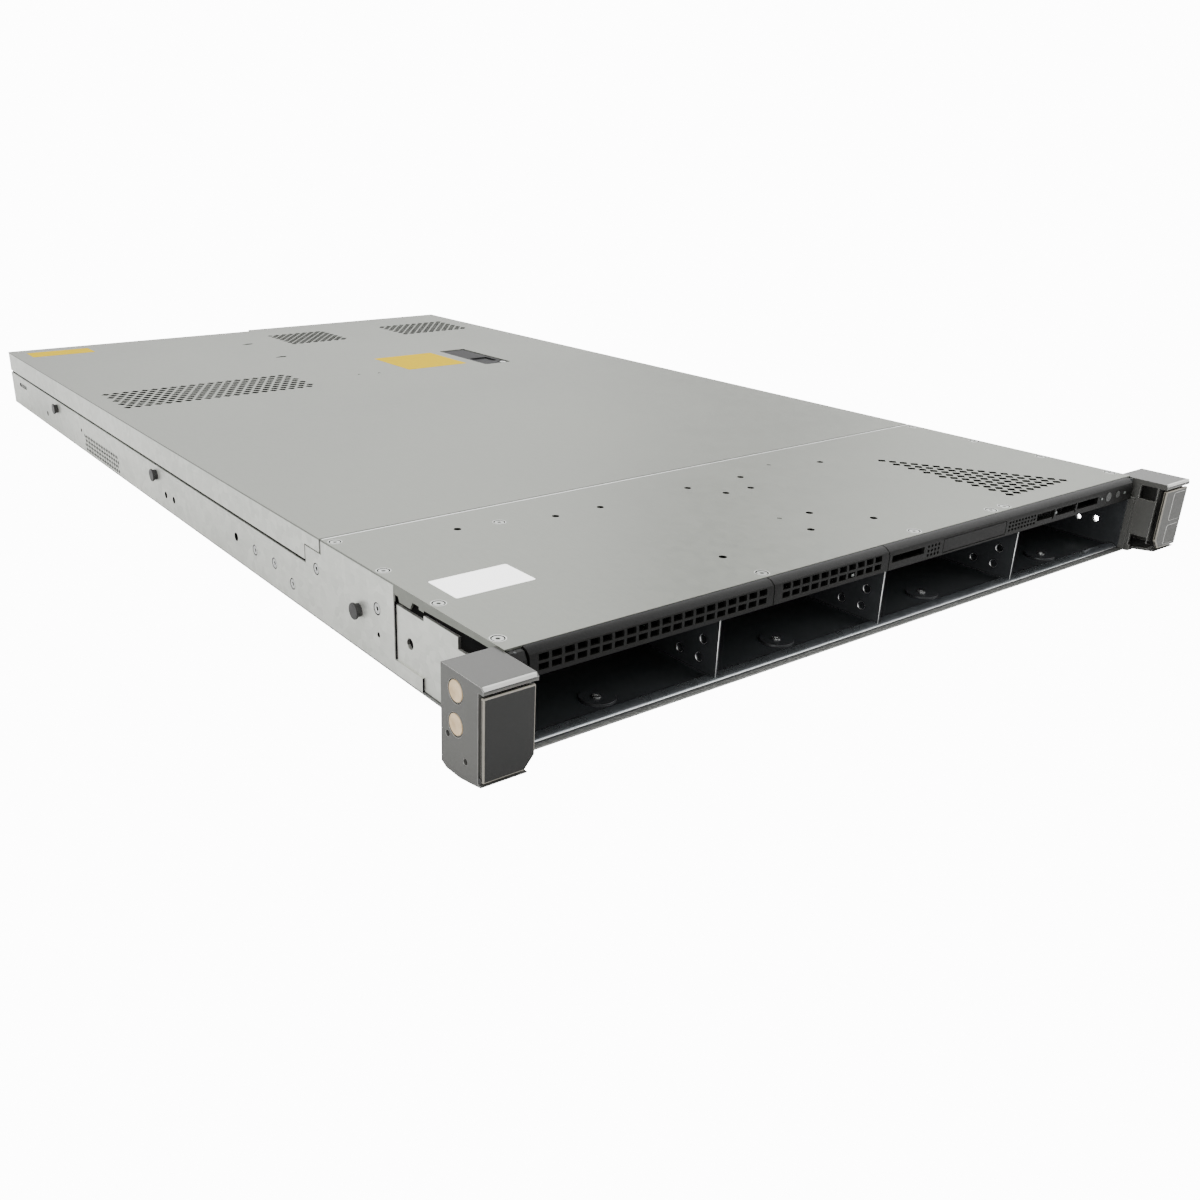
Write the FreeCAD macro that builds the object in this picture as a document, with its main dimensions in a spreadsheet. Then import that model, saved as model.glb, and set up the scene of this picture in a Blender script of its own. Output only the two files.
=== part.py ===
"""A 1U rack server: sheet-metal chassis with four open drive bays, lift-off cover, boards, fans
and two hot-plug power supplies.

Millimetres. X runs to the right as seen from the front, Y runs from front to back, Z up.
The origin is at the bottom, in the middle of the overall box.
"""
import FreeCAD, Part
import math
import os
import Sketcher

# Driving sizes, one named value each.  Depths are measured from the front edge of the top plate.
SIZES = {
    # overall body
    "body_width": 434.7,
    "body_height": 43.2,
    "body_depth": 750.0,
    "rear_step": 7.0,
    "front_lip": 5.3,
    "sheet": 1.0,
    "cover_sheet": 0.8,
    "running_gap": 0.3,
    "pivot_gap": 0.1,
    # seam between the fixed top plate and the cover
    "top_plate_depth": 150.3,
    "seam_gap": 0.5,
    "strip_lap": 3.0,
    "skirt_drop": 16.7,
    "skirt_front_drop": 7.7,
    "skirt_step": 16.0,
    # front end of the side walls
    "wall_front": 82.0,
    "toe_front": 59.0,
    "toe_height": 7.5,
    "flange_drop": 4.7,
    # drive cage
    "cage_depth": 186.0,
    "cage_flange": 8.0,
    "divider_pitch": 108.2,
    "divider_shift": 1.3,
    "shelf_height": 30.6,
    "shelf_depth": 140.0,
    "rib_height": 0.8,
    "dimple_radius": 8.0,
    "dimple_depth": 13.0,
    # front strip over the bays
    "strip_bottom": 31.6,
    "strip_wall": 1.6,
    "strip_left_inset": 7.85,
    "wide_blank_width": 130.0,
    "narrow_blank_width": 76.6,
    "blank_gap": 0.5,
    "grille_pitch": 6.15,
    "grille_rows": 3.9,
    "grille_hole_width": 4.7,
    "grille_hole_height": 2.7,
    "strip_right_inset": 5.35,
    # pull-out display tray
    "tray_left": 39.2,
    "tray_width": 51.4,
    "tray_height": 6.6,
    "tray_depth": 78.0,
    "tray_wall": 1.4,
    # buttons
    "power_button_side": 187.0,
    "uid_button_side": 196.5,
    "button_height": 36.6,
    "power_button_radius": 2.6,
    "uid_button_radius": 1.9,
    "button_stroke": 1.0,
    "button_length": 9.0,
    "button_gap": 0.2,
    # rack ears
    "ear_width": 23.95,
    "ear_reach": 21.5,
    "ear_back": 6.0,
    "ear_height": 42.3,
    "ear_wall": 1.8,
    "ear_chamfer": 3.5,
    "lever_top": 38.4,
    "lip_gap": 1.0,
    "lever_thickness": 4.0,
    "lever_axis_height": 5.2,
    "lever_pin_radius": 1.0,
    "rack_hole_inset": 8.75,
    "rack_screw_height": 22.0,
    "rack_screw_radius": 2.5,
    "rack_screw_reach": 10.0,
    "disc_radius": 4.3,
    "disc_thickness": 1.0,
    "disc_setback": 3.6,
    "disc_upper": 34.3,
    "disc_lower": 20.8,
    "bracket_sheet": 1.5,
    "bracket_height": 35.8,
    "bracket_back": 94.0,
    "bracket_hole_depth": 70.3,
    "bracket_hole_height": 18.9,
    "bracket_hole_radius": 2.6,
    # rail studs and side screws
    "stud_front": 113.7,
    "stud_middle": 381.8,
    "stud_rear": 607.5,
    "stud_height": 19.9,
    "stud_neck_radius": 2.6,
    "stud_head_radius": 4.0,
    "stud_neck_length": 2.2,
    "stud_head_length": 1.4,
    "screw_head_radius": 2.8,
    # boards
    "board_height": 6.0,
    "board_sheet": 1.6,
    "board_front": 250.0,
    "board_inset": 9.35,
    "standoff_radius": 3.0,
    # fans
    "fan_pitch": 76.0,
    "fan_size": 40.0,
    "fan_depth": 28.0,
    "fan_front": 215.0,
    "fan_bore": 19.2,
    "fan_tip": 18.5,
    "hub_radius": 9.0,
    "bearing_radius": 2.5,
    "bulkhead_depth": 213.0,
    # processors, coolers and memory
    "processor_side": 103.0,
    "processor_depth": 330.0,
    "socket_size": 56.0,
    "socket_height": 5.0,
    "cooler_width": 90.0,
    "cooler_depth": 90.0,
    "cooler_top": 37.0,
    "cooler_base": 4.0,
    "fin_pitch": 3.6,
    "fin_thickness": 0.6,
    "memory_pitch": 9.0,
    "memory_length": 142.0,
    "memory_slot_width": 6.5,
    "memory_slot_height": 8.0,
    "memory_top": 34.5,
    "memory_group_outer": 179.0,
    "memory_group_inner": 26.0,
    "baffle_top": 41.0,
    "baffle_wall": 1.5,
    "baffle_front": 262.0,
    "baffle_depth": 150.0,
    # power supplies
    "supply_width": 86.0,
    "supply_height": 38.6,
    "supply_length": 192.0,
    "supply_clearance": 0.6,
    "supply_lift": 0.4,
    "supply_inset": 3.75,
    "handle_reach": 22.0,
    "handle_wire": 2.5,
    "inlet_width": 28.0,
    "inlet_height": 21.0,
    # cover latch
    "latch_side": 113.5,
    "latch_front": 482.0,
    "latch_length": 73.0,
    "latch_width": 23.0,
    "latch_well": 9.0,
    "latch_thickness": 4.0,
    "trunnion_radius": 1.5,
}


class Size:
    """A number together with the spreadsheet formula that gives it."""

    def __init__(self, number, formula):
        self.number = number
        self.formula = formula

    def __add__(self, other):
        return Size(self.number + number(other), f"({self.formula} + {formula(other)})")

    def __radd__(self, other):
        return Size(number(other) + self.number, f"({formula(other)} + {self.formula})")

    def __sub__(self, other):
        return Size(self.number - number(other), f"({self.formula} - {formula(other)})")

    def __rsub__(self, other):
        return Size(number(other) - self.number, f"({formula(other)} - {self.formula})")

    def __mul__(self, other):
        return Size(self.number * number(other), f"({self.formula} * {formula(other)})")

    def __rmul__(self, other):
        return Size(number(other) * self.number, f"({formula(other)} * {self.formula})")

    def __truediv__(self, other):
        return Size(self.number / number(other), f"({self.formula} / {formula(other)})")

    def __neg__(self):
        return Size(-self.number, f"(-1 * {self.formula})")


def number(value):
    return value.number if isinstance(value, Size) else float(value)


def formula(value):
    return value.formula if isinstance(value, Size) else f"({float(value):.6f})"


def sized(value):
    """A bare number as a value that takes part in formulas."""
    return Size(number(value), formula(value))


doc = FreeCAD.newDocument("rack_server")
sheet = doc.addObject("Spreadsheet::Sheet", "sizes")


class Named:
    """The sheet's values by name."""


s = Named()
for row, (name, value) in enumerate(SIZES.items(), 1):
    sheet.set(f"A{row}", name)
    sheet.set(f"B{row}", str(value))
    sheet.setAlias(f"B{row}", name)
    setattr(s, name, Size(value, "sizes." + name))
doc.recompute()

NODES = []
Z_AXIS = FreeCAD.Rotation()
X_AXIS = FreeCAD.Rotation(FreeCAD.Vector(0, 1, 0), 90)
Y_AXIS = FreeCAD.Rotation(FreeCAD.Vector(1, 0, 0), -90)


# --- short forms for the document's objects -------------------------------------------------------

def bind(obj, prop, value):
    """Tie one property of an object to a value of the sheet."""
    obj.setExpression(prop, formula(value))


def node(obj, label):
    """Mark an object as one sub-part of the server."""
    obj.Label = label
    NODES.append(obj)
    return obj


def box(name, low, high):
    """A block between two corners."""
    obj = doc.addObject("Part::Box", name)
    for prop, axis, a, b in zip(("Length", "Width", "Height"), "xyz", low, high):
        bind(obj, prop, b - a)
        bind(obj, f"Placement.Base.{axis}", a)
    return obj


def rod(name, turn, start, radius, length, top_radius=None):
    """A cylinder or cone from start along the axis that turn gives."""
    obj = doc.addObject("Part::Cylinder" if top_radius is None else "Part::Cone", name)
    obj.Placement = FreeCAD.Placement(FreeCAD.Vector(), turn)
    bind(obj, "Height", length)
    bind(obj, "Radius" if top_radius is None else "Radius1", radius)
    if top_radius is not None:
        bind(obj, "Radius2", top_radius)
    for axis, value in zip("xyz", start):
        bind(obj, f"Placement.Base.{axis}", value)
    return obj


def fuse(name, pieces):
    obj = doc.addObject("Part::MultiFuse", name)
    obj.Shapes = pieces
    return obj


def group(name, pieces):
    """Separate solids that share one node."""
    obj = doc.addObject("Part::Compound", name)
    obj.Links = pieces
    return obj


def cut(name, base, tool):
    obj = doc.addObject("Part::Cut", name)
    obj.Base = base
    obj.Tool = tool
    return obj


def rect(left, bottom, right, top):
    return [(left, bottom), (right, bottom), (right, top), (left, top)]


def hexagon(across, up, radius):
    """Corners of an upright hexagon."""
    corners = [math.radians(60 * k) for k in range(6)]
    return [(across + radius * math.cos(a), up + radius * math.sin(a)) for a in corners]


class Ring:
    """A circle of a sketch."""

    def __init__(self, across, up, radius):
        self.across, self.up, self.radius = across, up, radius


class Piece:
    """A PartDesign body; its features always grow or cut towards the positive axis."""

    TOWARDS = {"XY": 1, "XZ": -1, "YZ": 1}

    def __init__(self, name):
        self.body = doc.addObject("PartDesign::Body", name)
        self.count = 0

    def sketch(self, plane, at, loops, tied=True):
        self.count += 1
        sketch = self.body.newObject("Sketcher::SketchObject", f"{self.body.Name}_sketch{self.count}")
        roles = {feature.Role: feature for feature in self.body.Origin.OriginFeatures}
        sketch.AttachmentSupport = [(roles[plane + "_Plane"], "")]
        sketch.MapMode = "FlatFace"
        bind(sketch, "AttachmentOffset.Base.z", self.TOWARDS[plane] * sized(at))
        for loop in loops:
            if isinstance(loop, Ring):
                draw_ring(sketch, loop, tied)
            else:
                draw_outline(sketch, loop, tied)
        return sketch

    def pad(self, plane, at, loops, length, tied=True):
        sketch = self.sketch(plane, at, loops, tied)
        pad = self.body.newObject("PartDesign::Pad", f"{self.body.Name}_pad{self.count}")
        pad.Profile = sketch
        bind(pad, "Length", length)
        pad.Reversed = self.TOWARDS[plane] < 0
        return pad

    def pocket(self, plane, at, loops, length, tied=True):
        sketch = self.sketch(plane, at, loops, tied)
        pocket = self.body.newObject("PartDesign::Pocket", f"{self.body.Name}_pocket{self.count}")
        pocket.Profile = sketch
        bind(pocket, "Length", length)
        pocket.Reversed = self.TOWARDS[plane] > 0
        return pocket

    def repeat(self, feature, axis, length, times):
        """Copies of one feature along an axis of the body."""
        roles = {item.Role: item for item in self.body.Origin.OriginFeatures}
        pattern = self.body.newObject("PartDesign::LinearPattern", f"{feature.Name}_row")
        pattern.Originals = [feature]
        pattern.Direction = (roles[axis + "_Axis"], [""])
        bind(pattern, "Length", length)
        pattern.Occurrences = times
        self.body.Tip = pattern
        return pattern


def draw_outline(sketch, points, tied):
    first = sketch.GeometryCount
    last = len(points) - 1
    spots = [FreeCAD.Vector(number(u), number(v), 0) for u, v in points]
    for i in range(len(points)):
        sketch.addGeometry(Part.LineSegment(spots[i], spots[0 if i == last else i + 1]))
    for i in range(len(points)):
        sketch.addConstraint(Sketcher.Constraint(
            "Coincident", first + i, 2, first + (0 if i == last else i + 1), 1))
    if not tied:
        return
    for i, (u, v) in enumerate(points):
        tie(sketch, ("DistanceX", -1, 1, first + i, 1), u)
        tie(sketch, ("DistanceY", -1, 1, first + i, 1), v)


def draw_ring(sketch, ring, tied):
    centre = FreeCAD.Vector(number(ring.across), number(ring.up), 0)
    which = sketch.addGeometry(Part.Circle(centre, FreeCAD.Vector(0, 0, 1), number(ring.radius)))
    if not tied:
        return
    tie(sketch, ("DistanceX", -1, 1, which, 3), ring.across)
    tie(sketch, ("DistanceY", -1, 1, which, 3), ring.up)
    tie(sketch, ("Radius", which), ring.radius)


def tie(sketch, constraint, value):
    index = sketch.addConstraint(Sketcher.Constraint(*constraint, number(value)))
    sketch.setExpression(f"Constraints[{index}]", formula(value))


def staggered(left, bottom, right, top, across, up, reach, inside=None):
    """Diamond holes in offset rows that fill a field, or the part of it that inside accepts."""
    loops = []
    rows = int((number(top) - number(bottom)) / up)
    columns = int((number(right) - number(left)) / across)
    for row in range(rows):
        for column in range(columns - row % 2):
            u = number(left) + (column + 0.5 + 0.5 * (row % 2)) * across
            v = number(bottom) + (row + 0.5) * up
            if inside is None or inside(u, v):
                loops.append([(u - reach, v), (u, v - reach), (u + reach, v), (u, v + reach)])
    return loops


def span(side, near, far):
    """Where a stretch from near to far, out from the middle, starts on one side."""
    return near if side > 0 else -far


# --- places that several pieces share --------------------------------------------------------------

half_width = s.body_width / 2
supply_side = half_width - s.supply_inset
board_side = half_width - s.board_inset
strip_left_end = s.strip_left_inset - half_width
strip_right_end = half_width - s.strip_right_inset
front = s.ear_reach - (s.ear_reach + s.body_depth + s.handle_reach) / 2
rear_left = front + s.body_depth
rear_right = rear_left + s.rear_step
seam = front + s.top_plate_depth
floor_top = s.sheet
plate_bottom = s.body_height - s.sheet
wall_inside = half_width - s.sheet
skirt_inside = half_width - s.cover_sheet
jog_outside = skirt_inside - s.running_gap
jog_inside = jog_outside - s.sheet
jog_top = s.body_height - s.cover_sheet - s.running_gap
skirt_bottom = s.body_height - s.skirt_drop
skirt_front_bottom = s.body_height - s.skirt_front_drop
cover_front = seam + s.seam_gap
board_top = s.board_height + s.board_sheet
SIDES = (-1, 1)
TOP_SCREW_DEPTHS = (10.0, 52.0, 97.2, 142.9)
SIDE_SCREWS = ((96.8, 26.2), (156.1, 26.4), (184.3, 9.7))
STUDS = (s.stud_front, s.stud_middle, s.stud_rear)
cage_outside = wall_inside - s.bracket_sheet
cage_inside = cage_outside - s.sheet
edge_screw_line = cage_inside - s.cage_flange / 2 + s.sheet
bay_floor_top = floor_top + s.sheet
tray_bottom = s.strip_bottom + 1.2


# --- chassis ---------------------------------------------------------------------------------------

supply_pitch = s.supply_width + 2 * s.supply_clearance
supply_bottom = floor_top + s.supply_lift
supply_zone = -supply_side + 2 * supply_pitch + 2 * s.sheet
zone_width = half_width - supply_zone
rear_step_side = supply_zone + 0.178 * zone_width
slot_lefts = [supply_zone + share * zone_width for share in (0.195, 0.588)]
slot_width = 0.345 * zone_width
riser_left = supply_zone + 0.553 * zone_width
SUPPLIES = [-supply_side + s.supply_clearance + k * (supply_pitch + s.sheet) for k in (0, 1)]


def base_pan():
    """Floor of the case, with hexagonal standoffs for the board."""
    piece = Piece("base_pan")
    piece.pad("XY", 0, [[
        (-half_width, front - s.front_lip), (half_width, front - s.front_lip),
        (half_width, rear_right), (rear_step_side, rear_right),
        (rear_step_side, rear_left), (-half_width, rear_left)]], s.sheet)
    piece.pad("XY", floor_top, [hexagon(x, y, s.standoff_radius) for x, y in standoffs()],
              s.board_height - floor_top)
    return node(piece.body, "base_pan")


def reaches(hole, outline):
    """Whether a round hole meets an outline's bounding rectangle."""
    radius = number(hole.radius)
    return all(low < number(centre) + radius and number(centre) - radius < high
               for centre, low, high in (
                   (hole.across, min(number(y) for y, z in outline), max(number(y) for y, z in outline)),
                   (hole.up, min(number(z) for y, z in outline), max(number(z) for y, z in outline))))


def side_walls():
    """Side walls welded from a front length, a step, a rear length and an inner joggled strip."""
    parts = []
    low_top = skirt_bottom - s.running_gap
    step_top = skirt_front_bottom - s.running_gap
    step_back = cover_front + s.skirt_step - s.running_gap
    for side in SIDES:
        back = rear_left if side < 0 else rear_right
        holes = [Ring(front + y, z, s.screw_head_radius) for y, z in SIDE_SCREWS]
        vents = staggered(front + 462, 2.2, front + 535, 14.6, 12.0, 6.0, 2.4)
        vents.append(rect(front + 702, s.stud_height - 1.5, front + 722, s.stud_height + 1.5))
        start = span(side, wall_inside, half_width)
        outlines = {
            "front": [(front + s.toe_front, floor_top), (seam, floor_top), (seam, plate_bottom),
                      (front + s.wall_front, plate_bottom), (front + s.wall_front, s.toe_height),
                      (front + s.toe_front, s.toe_height)],
            "rear": rect(seam, floor_top, back, low_top),
            "step": rect(seam, low_top, step_back, step_top)}
        for place, outline in outlines.items():
            piece = Piece(f"side_wall_{place}_{side + 1}")
            piece.pad("YZ", start, [outline], s.sheet)
            piece.pocket("YZ", start - s.sheet, [hole for hole in holes if reaches(hole, outline)],
                         3 * s.sheet)
            if place == "rear":
                piece.pocket("YZ", start - s.sheet, vents, 3 * s.sheet, tied=False)
            parts.append(piece.body)
        strip = Piece(f"side_wall_strip_{side + 1}")
        strip.pad("YZ", span(side, jog_inside, wall_inside), [
            rect(cover_front + 2, low_top - s.strip_lap, back, low_top)], wall_inside - jog_inside)
        strip.pad("YZ", span(side, jog_inside, jog_outside), [
            rect(cover_front + 2, low_top - s.sheet, back, jog_top)], s.sheet)
        parts.append(strip.body)
    return node(group("side_walls", parts), "side_walls")


def rear_panel():
    """Stepped rear wall beside the supplies, with openings for the ports and two slots."""
    piece = Piece("rear_panel")
    piece.pad("XZ", rear_left - s.sheet, [
        rect(supply_zone, floor_top, rear_step_side, jog_top)], s.sheet)
    piece.pad("XZ", rear_left - s.sheet, [
        rect(rear_step_side, floor_top, rear_step_side + s.sheet, jog_top)],
        s.rear_step + s.sheet)
    piece.pad("XZ", rear_right - s.sheet, [
        rect(rear_step_side, floor_top, jog_inside, jog_top)], s.sheet)
    piece.pocket("XZ", rear_left - 2 * s.sheet, [rect(*opening) for opening in port_openings()],
                 s.rear_step + 4 * s.sheet)
    return node(piece.body, "rear_panel")


def standoffs():
    """Standoff places under the system board."""
    return [(x * board_side, front + s.board_front + y)
            for x, y in ((-0.94, 12), (0, 12), (0.94, 12), (-0.94, 150), (0, 150), (0.94, 150),
                         (0.2, 300), (0.94, 300), (0.2, 440), (0.94, 440))]


def port_openings():
    """Rear wall cut-outs: left, bottom, right, top."""
    gap = s.running_gap
    ports = [(supply_zone + share * zone_width - gap, board_top - gap,
              supply_zone + share * zone_width + w + gap, board_top + h + gap)
             for share, w, h in REAR_PORTS.values()]
    slots = [(left - gap, SLOT_BOTTOM - gap, left + slot_width + gap, SLOT_BOTTOM + SLOT_HEIGHT + gap)
             for left in slot_lefts]
    return ports + slots


# share of the way from the supplies to the right wall, width, and height above the board
REAR_PORTS = {
    "network_1": (0.012, 16.0, 13.5), "network_2": (0.093, 16.0, 13.5),
    "usb_1": (0.190, 14.0, 14.0), "usb_2": (0.270, 14.0, 14.0),
    "video": (0.350, 31.0, 12.5), "serial": (0.520, 31.0, 12.5),
    "network_3": (0.690, 16.0, 13.5), "network_4": (0.790, 16.0, 13.5),
}
SLOT_BOTTOM = 25.5
SLOT_HEIGHT = 14.0


def front_top_plate():
    """Fixed plate over the drive cage, with short side flanges, vents and screw holes."""
    piece = Piece("front_top_plate")
    piece.pad("XY", plate_bottom, [rect(-half_width, front, half_width, seam)], s.sheet)
    for side in SIDES:
        piece.pad("YZ", span(side, wall_inside, half_width), [[
            (front, plate_bottom - s.flange_drop), (front + 61, plate_bottom - s.flange_drop),
            (front + 61, plate_bottom - 2), (front + 69, plate_bottom - 2),
            (front + 69, plate_bottom - s.flange_drop),
            (front + s.wall_front - s.running_gap, plate_bottom - s.flange_drop),
            (front + s.wall_front - s.running_gap, plate_bottom + s.sheet / 2),
            (front, plate_bottom + s.sheet / 2)]], s.sheet)
    piece.pocket("XY", plate_bottom - s.sheet, [
        Ring(x, y, s.screw_head_radius) for x, y in top_screw_places()], 3 * s.sheet)
    slope = (176.0 - 125.0) / (100.0 - 14.0)
    piece.pocket("XY", plate_bottom - s.sheet, staggered(
        122, front + 13, 180, front + 101, 13.0, 9.5, 4.0,
        lambda u, v: u - 4.0 < 176.0 - (v - number(front) - 14.0) * slope),
        3 * s.sheet, tied=False)
    return node(piece.body, "front_top_plate")


def top_screw_places():
    return [(side * edge_screw_line, front + y) for side in SIDES for y in TOP_SCREW_DEPTHS]


def screw_head(name, turn, start):
    """Flat screw head, flush with the sheet it sits in."""
    return rod(name, turn, start, s.screw_head_radius, s.sheet)


def top_screws():
    down = FreeCAD.Rotation(FreeCAD.Vector(1, 0, 0), 180)
    screws = [screw_head(f"top_screw_{k}", down, (x, y, s.body_height))
              for k, (x, y) in enumerate(top_screw_places())]
    return node(group("top_screws", screws), "top_screws")


def side_screws():
    screws = []
    for side in SIDES:
        turn = FreeCAD.Rotation(FreeCAD.Vector(0, 1, 0), -90 * side)
        for k, (y, z) in enumerate(SIDE_SCREWS):
            screws.append(screw_head(f"side_screw_{side + 1}_{k}", turn,
                                      (side * half_width, front + y, z)))
    return node(group("side_screws", screws), "side_screws")


def rail_studs():
    """Shouldered studs that hook into the rack's slide rails."""
    studs = []
    for side in SIDES:
        turn = FreeCAD.Rotation(FreeCAD.Vector(0, 1, 0), 90 * side)
        for k, y in enumerate(STUDS):
            inner = (side * half_width, front + y, s.stud_height)
            neck = rod(f"stud_neck_{side + 1}_{k}", turn, inner, s.stud_neck_radius,
                       s.stud_neck_length)
            outer = (side * (half_width + s.stud_neck_length), front + y, s.stud_height)
            head = rod(f"stud_head_{side + 1}_{k}", turn, outer, s.stud_head_radius,
                       s.stud_head_length)
            studs.append(fuse(f"stud_{side + 1}_{k}", [neck, head]))
    return node(group("rail_studs", studs), "rail_studs")


# --- drive cage ------------------------------------------------------------------------------------

def drive_cage():
    """Floor of the bays, with a raised rib and dimples."""
    piece = Piece("drive_cage")
    piece.pad("XY", floor_top, [
        rect(-cage_outside, front - 3, cage_outside, front + s.cage_depth)], s.sheet)
    piece.pad("XY", bay_floor_top - s.sheet / 2, [
        rect(-cage_inside + 1, front - 1, cage_inside - 1, front + 1.5)], s.rib_height + s.sheet / 2)
    piece.pad("XY", bay_floor_top - s.sheet / 2, [
        Ring(x, front + s.dimple_depth, s.dimple_radius) for x in bay_middles()],
        s.rib_height + s.sheet / 2)
    return node(piece.body, "drive_cage")


def cage_sides():
    """Upright sides of the cage, with flanges that carry the top plate."""
    sides = []
    for side in SIDES:
        start = span(side, cage_inside, cage_outside)
        sides.append(box(f"cage_upright_{side + 1}", (start, front - 3, bay_floor_top),
                         (start + s.sheet, front + s.cage_depth, plate_bottom)))
        start = span(side, cage_outside - s.cage_flange, cage_inside)
        sides.append(box(f"cage_flange_{side + 1}", (start, front + 8, plate_bottom - s.sheet),
                         (start + s.cage_flange - s.sheet, front + s.cage_depth, plate_bottom)))
    return node(group("cage_sides", sides), "cage_sides")


def divider_sides():
    return [s.divider_shift + k * s.divider_pitch for k in (-1, 0, 1)]


def bay_middles():
    edges = [-cage_inside] + divider_sides() + [cage_inside]
    return [(a + b) / 2 for a, b in zip(edges, edges[1:])]


def bay_dividers():
    """Upright plates between the bays."""
    plates = [box(f"divider_{k}", (x - s.sheet / 2, front - 2, bay_floor_top + s.rib_height),
                  (x + s.sheet / 2, front + s.cage_depth - 4, s.shelf_height))
              for k, x in enumerate(divider_sides())]
    return node(group("bay_dividers", plates), "bay_dividers")


def cage_shelf():
    """Flat sheet over the drives that carries the blanks and the display tray."""
    piece = Piece("cage_shelf")
    piece.pad("XY", s.shelf_height, [
        rect(-cage_inside, front + 1, cage_inside, front + s.shelf_depth)], s.cover_sheet)
    runner_top = tray_bottom - s.running_gap
    for left in (s.tray_left + 3, s.tray_left + s.tray_width - 7):
        piece.pad("XY", s.shelf_height, [rect(left, front + 7, left + 4, front + s.tray_depth - 4)],
                  runner_top - s.shelf_height)
    piece.pocket("XY", s.shelf_height - s.sheet, [
        rect(x - 30, front + 85, x + 30, front + s.shelf_depth - 10) for x in bay_middles()], 3 * s.sheet)
    return node(piece.body, "cage_shelf")


def drive_backplane():
    """Upright board behind the bays: air slots, and a drive connector for each bay."""
    back = front + s.cage_depth
    board = box("backplane_board", (-cage_outside, back, bay_floor_top + 1),
                (cage_outside, back + s.board_sheet, jog_top - 2))
    slots = []
    for k, x in enumerate(bay_middles()):
        slots.append(box(f"backplane_slot_{k}", (x - 40, back - 1, s.sheet + 20),
                         (x + 40, back + s.board_sheet + 1, s.sheet + 27)))
        slots.append(box(f"backplane_vent_{k}", (x + 30, back - 1, s.sheet + 5),
                         (x + 46, back + s.board_sheet + 1, s.sheet + 16)))
    plugs = []
    for k, x in enumerate(bay_middles()):
        body = box(f"drive_plug_body_{k}", (x - 36, back - 7, s.sheet + 6), (x + 8, back, s.sheet + 13))
        mouth = box(f"drive_plug_mouth_{k}", (x - 34, back - 8, s.sheet + 8), (x + 6, back - 3, s.sheet + 11))
        plugs.append(cut(f"drive_plug_{k}", body, mouth))
    pierced = cut("backplane_pierced", board, group("backplane_slots", slots))
    return node(fuse("drive_backplane", [pierced] + plugs), "drive_backplane")


# --- front strip -----------------------------------------------------------------------------------

strip_face = front - s.front_lip


def strip_profile():
    """Side view of the strip: rounded top lip, upright face and a short foot."""
    wall = s.strip_wall
    return [(front - 0.3, s.body_height - 0.3), (front - 2.6, s.body_height - 0.7),
            (strip_face + 0.5, s.body_height - 2.4), (strip_face, s.body_height - 4.0),
            (strip_face, s.strip_bottom), (front + 6, s.strip_bottom),
            (front + 6, s.strip_bottom + wall), (strip_face + wall, s.strip_bottom + wall),
            (strip_face + wall, s.body_height - 4.0), (front - 2.4, s.body_height - 2.3),
            (front + 1.4, s.body_height - 2.3), (front + 1.4, plate_bottom - 0.2),
            (front - 0.3, plate_bottom - 0.2)]


def grille_holes(left, width, margin):
    """Two rows of oblong holes over the face of a blank."""
    count = int((number(width) - 2 * margin) / number(s.grille_pitch))
    first = left + (width - (count - 1) * s.grille_pitch) / 2
    low = s.strip_bottom + s.strip_wall + 0.4
    return [rect(first + k * s.grille_pitch - s.grille_hole_width / 2, low + row * s.grille_rows,
                 first + k * s.grille_pitch + s.grille_hole_width / 2,
                 low + row * s.grille_rows + s.grille_hole_height)
            for k in range(count) for row in (0, 1)]


def blank(name, left, width, margin):
    piece = Piece(name)
    piece.pad("YZ", left, [strip_profile()], width)
    piece.pocket("XZ", strip_face - 1, grille_holes(left, width, margin), s.strip_wall + 1.3, tied=False)
    return piece.body


narrow_left = strip_left_end + s.wide_blank_width + s.blank_gap
strip_left = narrow_left + s.narrow_blank_width + s.blank_gap


def grille_blanks():
    """Blanks over the left bays: a wide one, and a narrow one beside the open slot."""
    wide = blank("wide_grille_blank", strip_left_end, s.wide_blank_width, 3.5)
    narrow = blank("narrow_grille_blank", narrow_left, s.narrow_blank_width, 3.5)
    return node(group("grille_blanks", [wide, narrow]), "grille_blanks")


def control_strip():
    """Right half of the strip: open slot, tray window, vents, ports and button holes."""
    piece = Piece("control_strip")
    width = strip_right_end - strip_left
    piece.pad("YZ", strip_left, [strip_profile()], width)
    gap = s.running_gap
    piece.pocket("XZ", strip_face - 1, [
        rect(strip_left + 2, s.strip_bottom + 3.6, strip_left + 26, s.body_height - 4.6),
        rect(s.tray_left - gap, tray_bottom - gap, s.tray_left + s.tray_width + gap,
             tray_bottom + s.tray_height + gap),
        rect(s.tray_left + 79, s.strip_bottom + 3.0, s.tray_left + 95, s.body_height - 4.8),
        rect(s.tray_left + 97, s.strip_bottom + 3.0, s.tray_left + 115, s.body_height - 4.8),
        rect(s.tray_left + 117, s.strip_bottom + 3.0, s.tray_left + 137, s.body_height - 4.8),
        Ring(s.power_button_side, s.button_height, s.power_button_radius + s.button_gap),
        Ring(s.uid_button_side, s.button_height, s.uid_button_radius + s.button_gap)],
        s.strip_wall + 1.3)
    piece.pocket("YZ", s.tray_left - gap, [
        rect(strip_face + s.strip_wall / 2, s.strip_bottom - 1, front + 7, tray_bottom + s.tray_height)],
        s.tray_width + 2 * gap)
    return node(piece.body, "control_strip")


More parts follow.
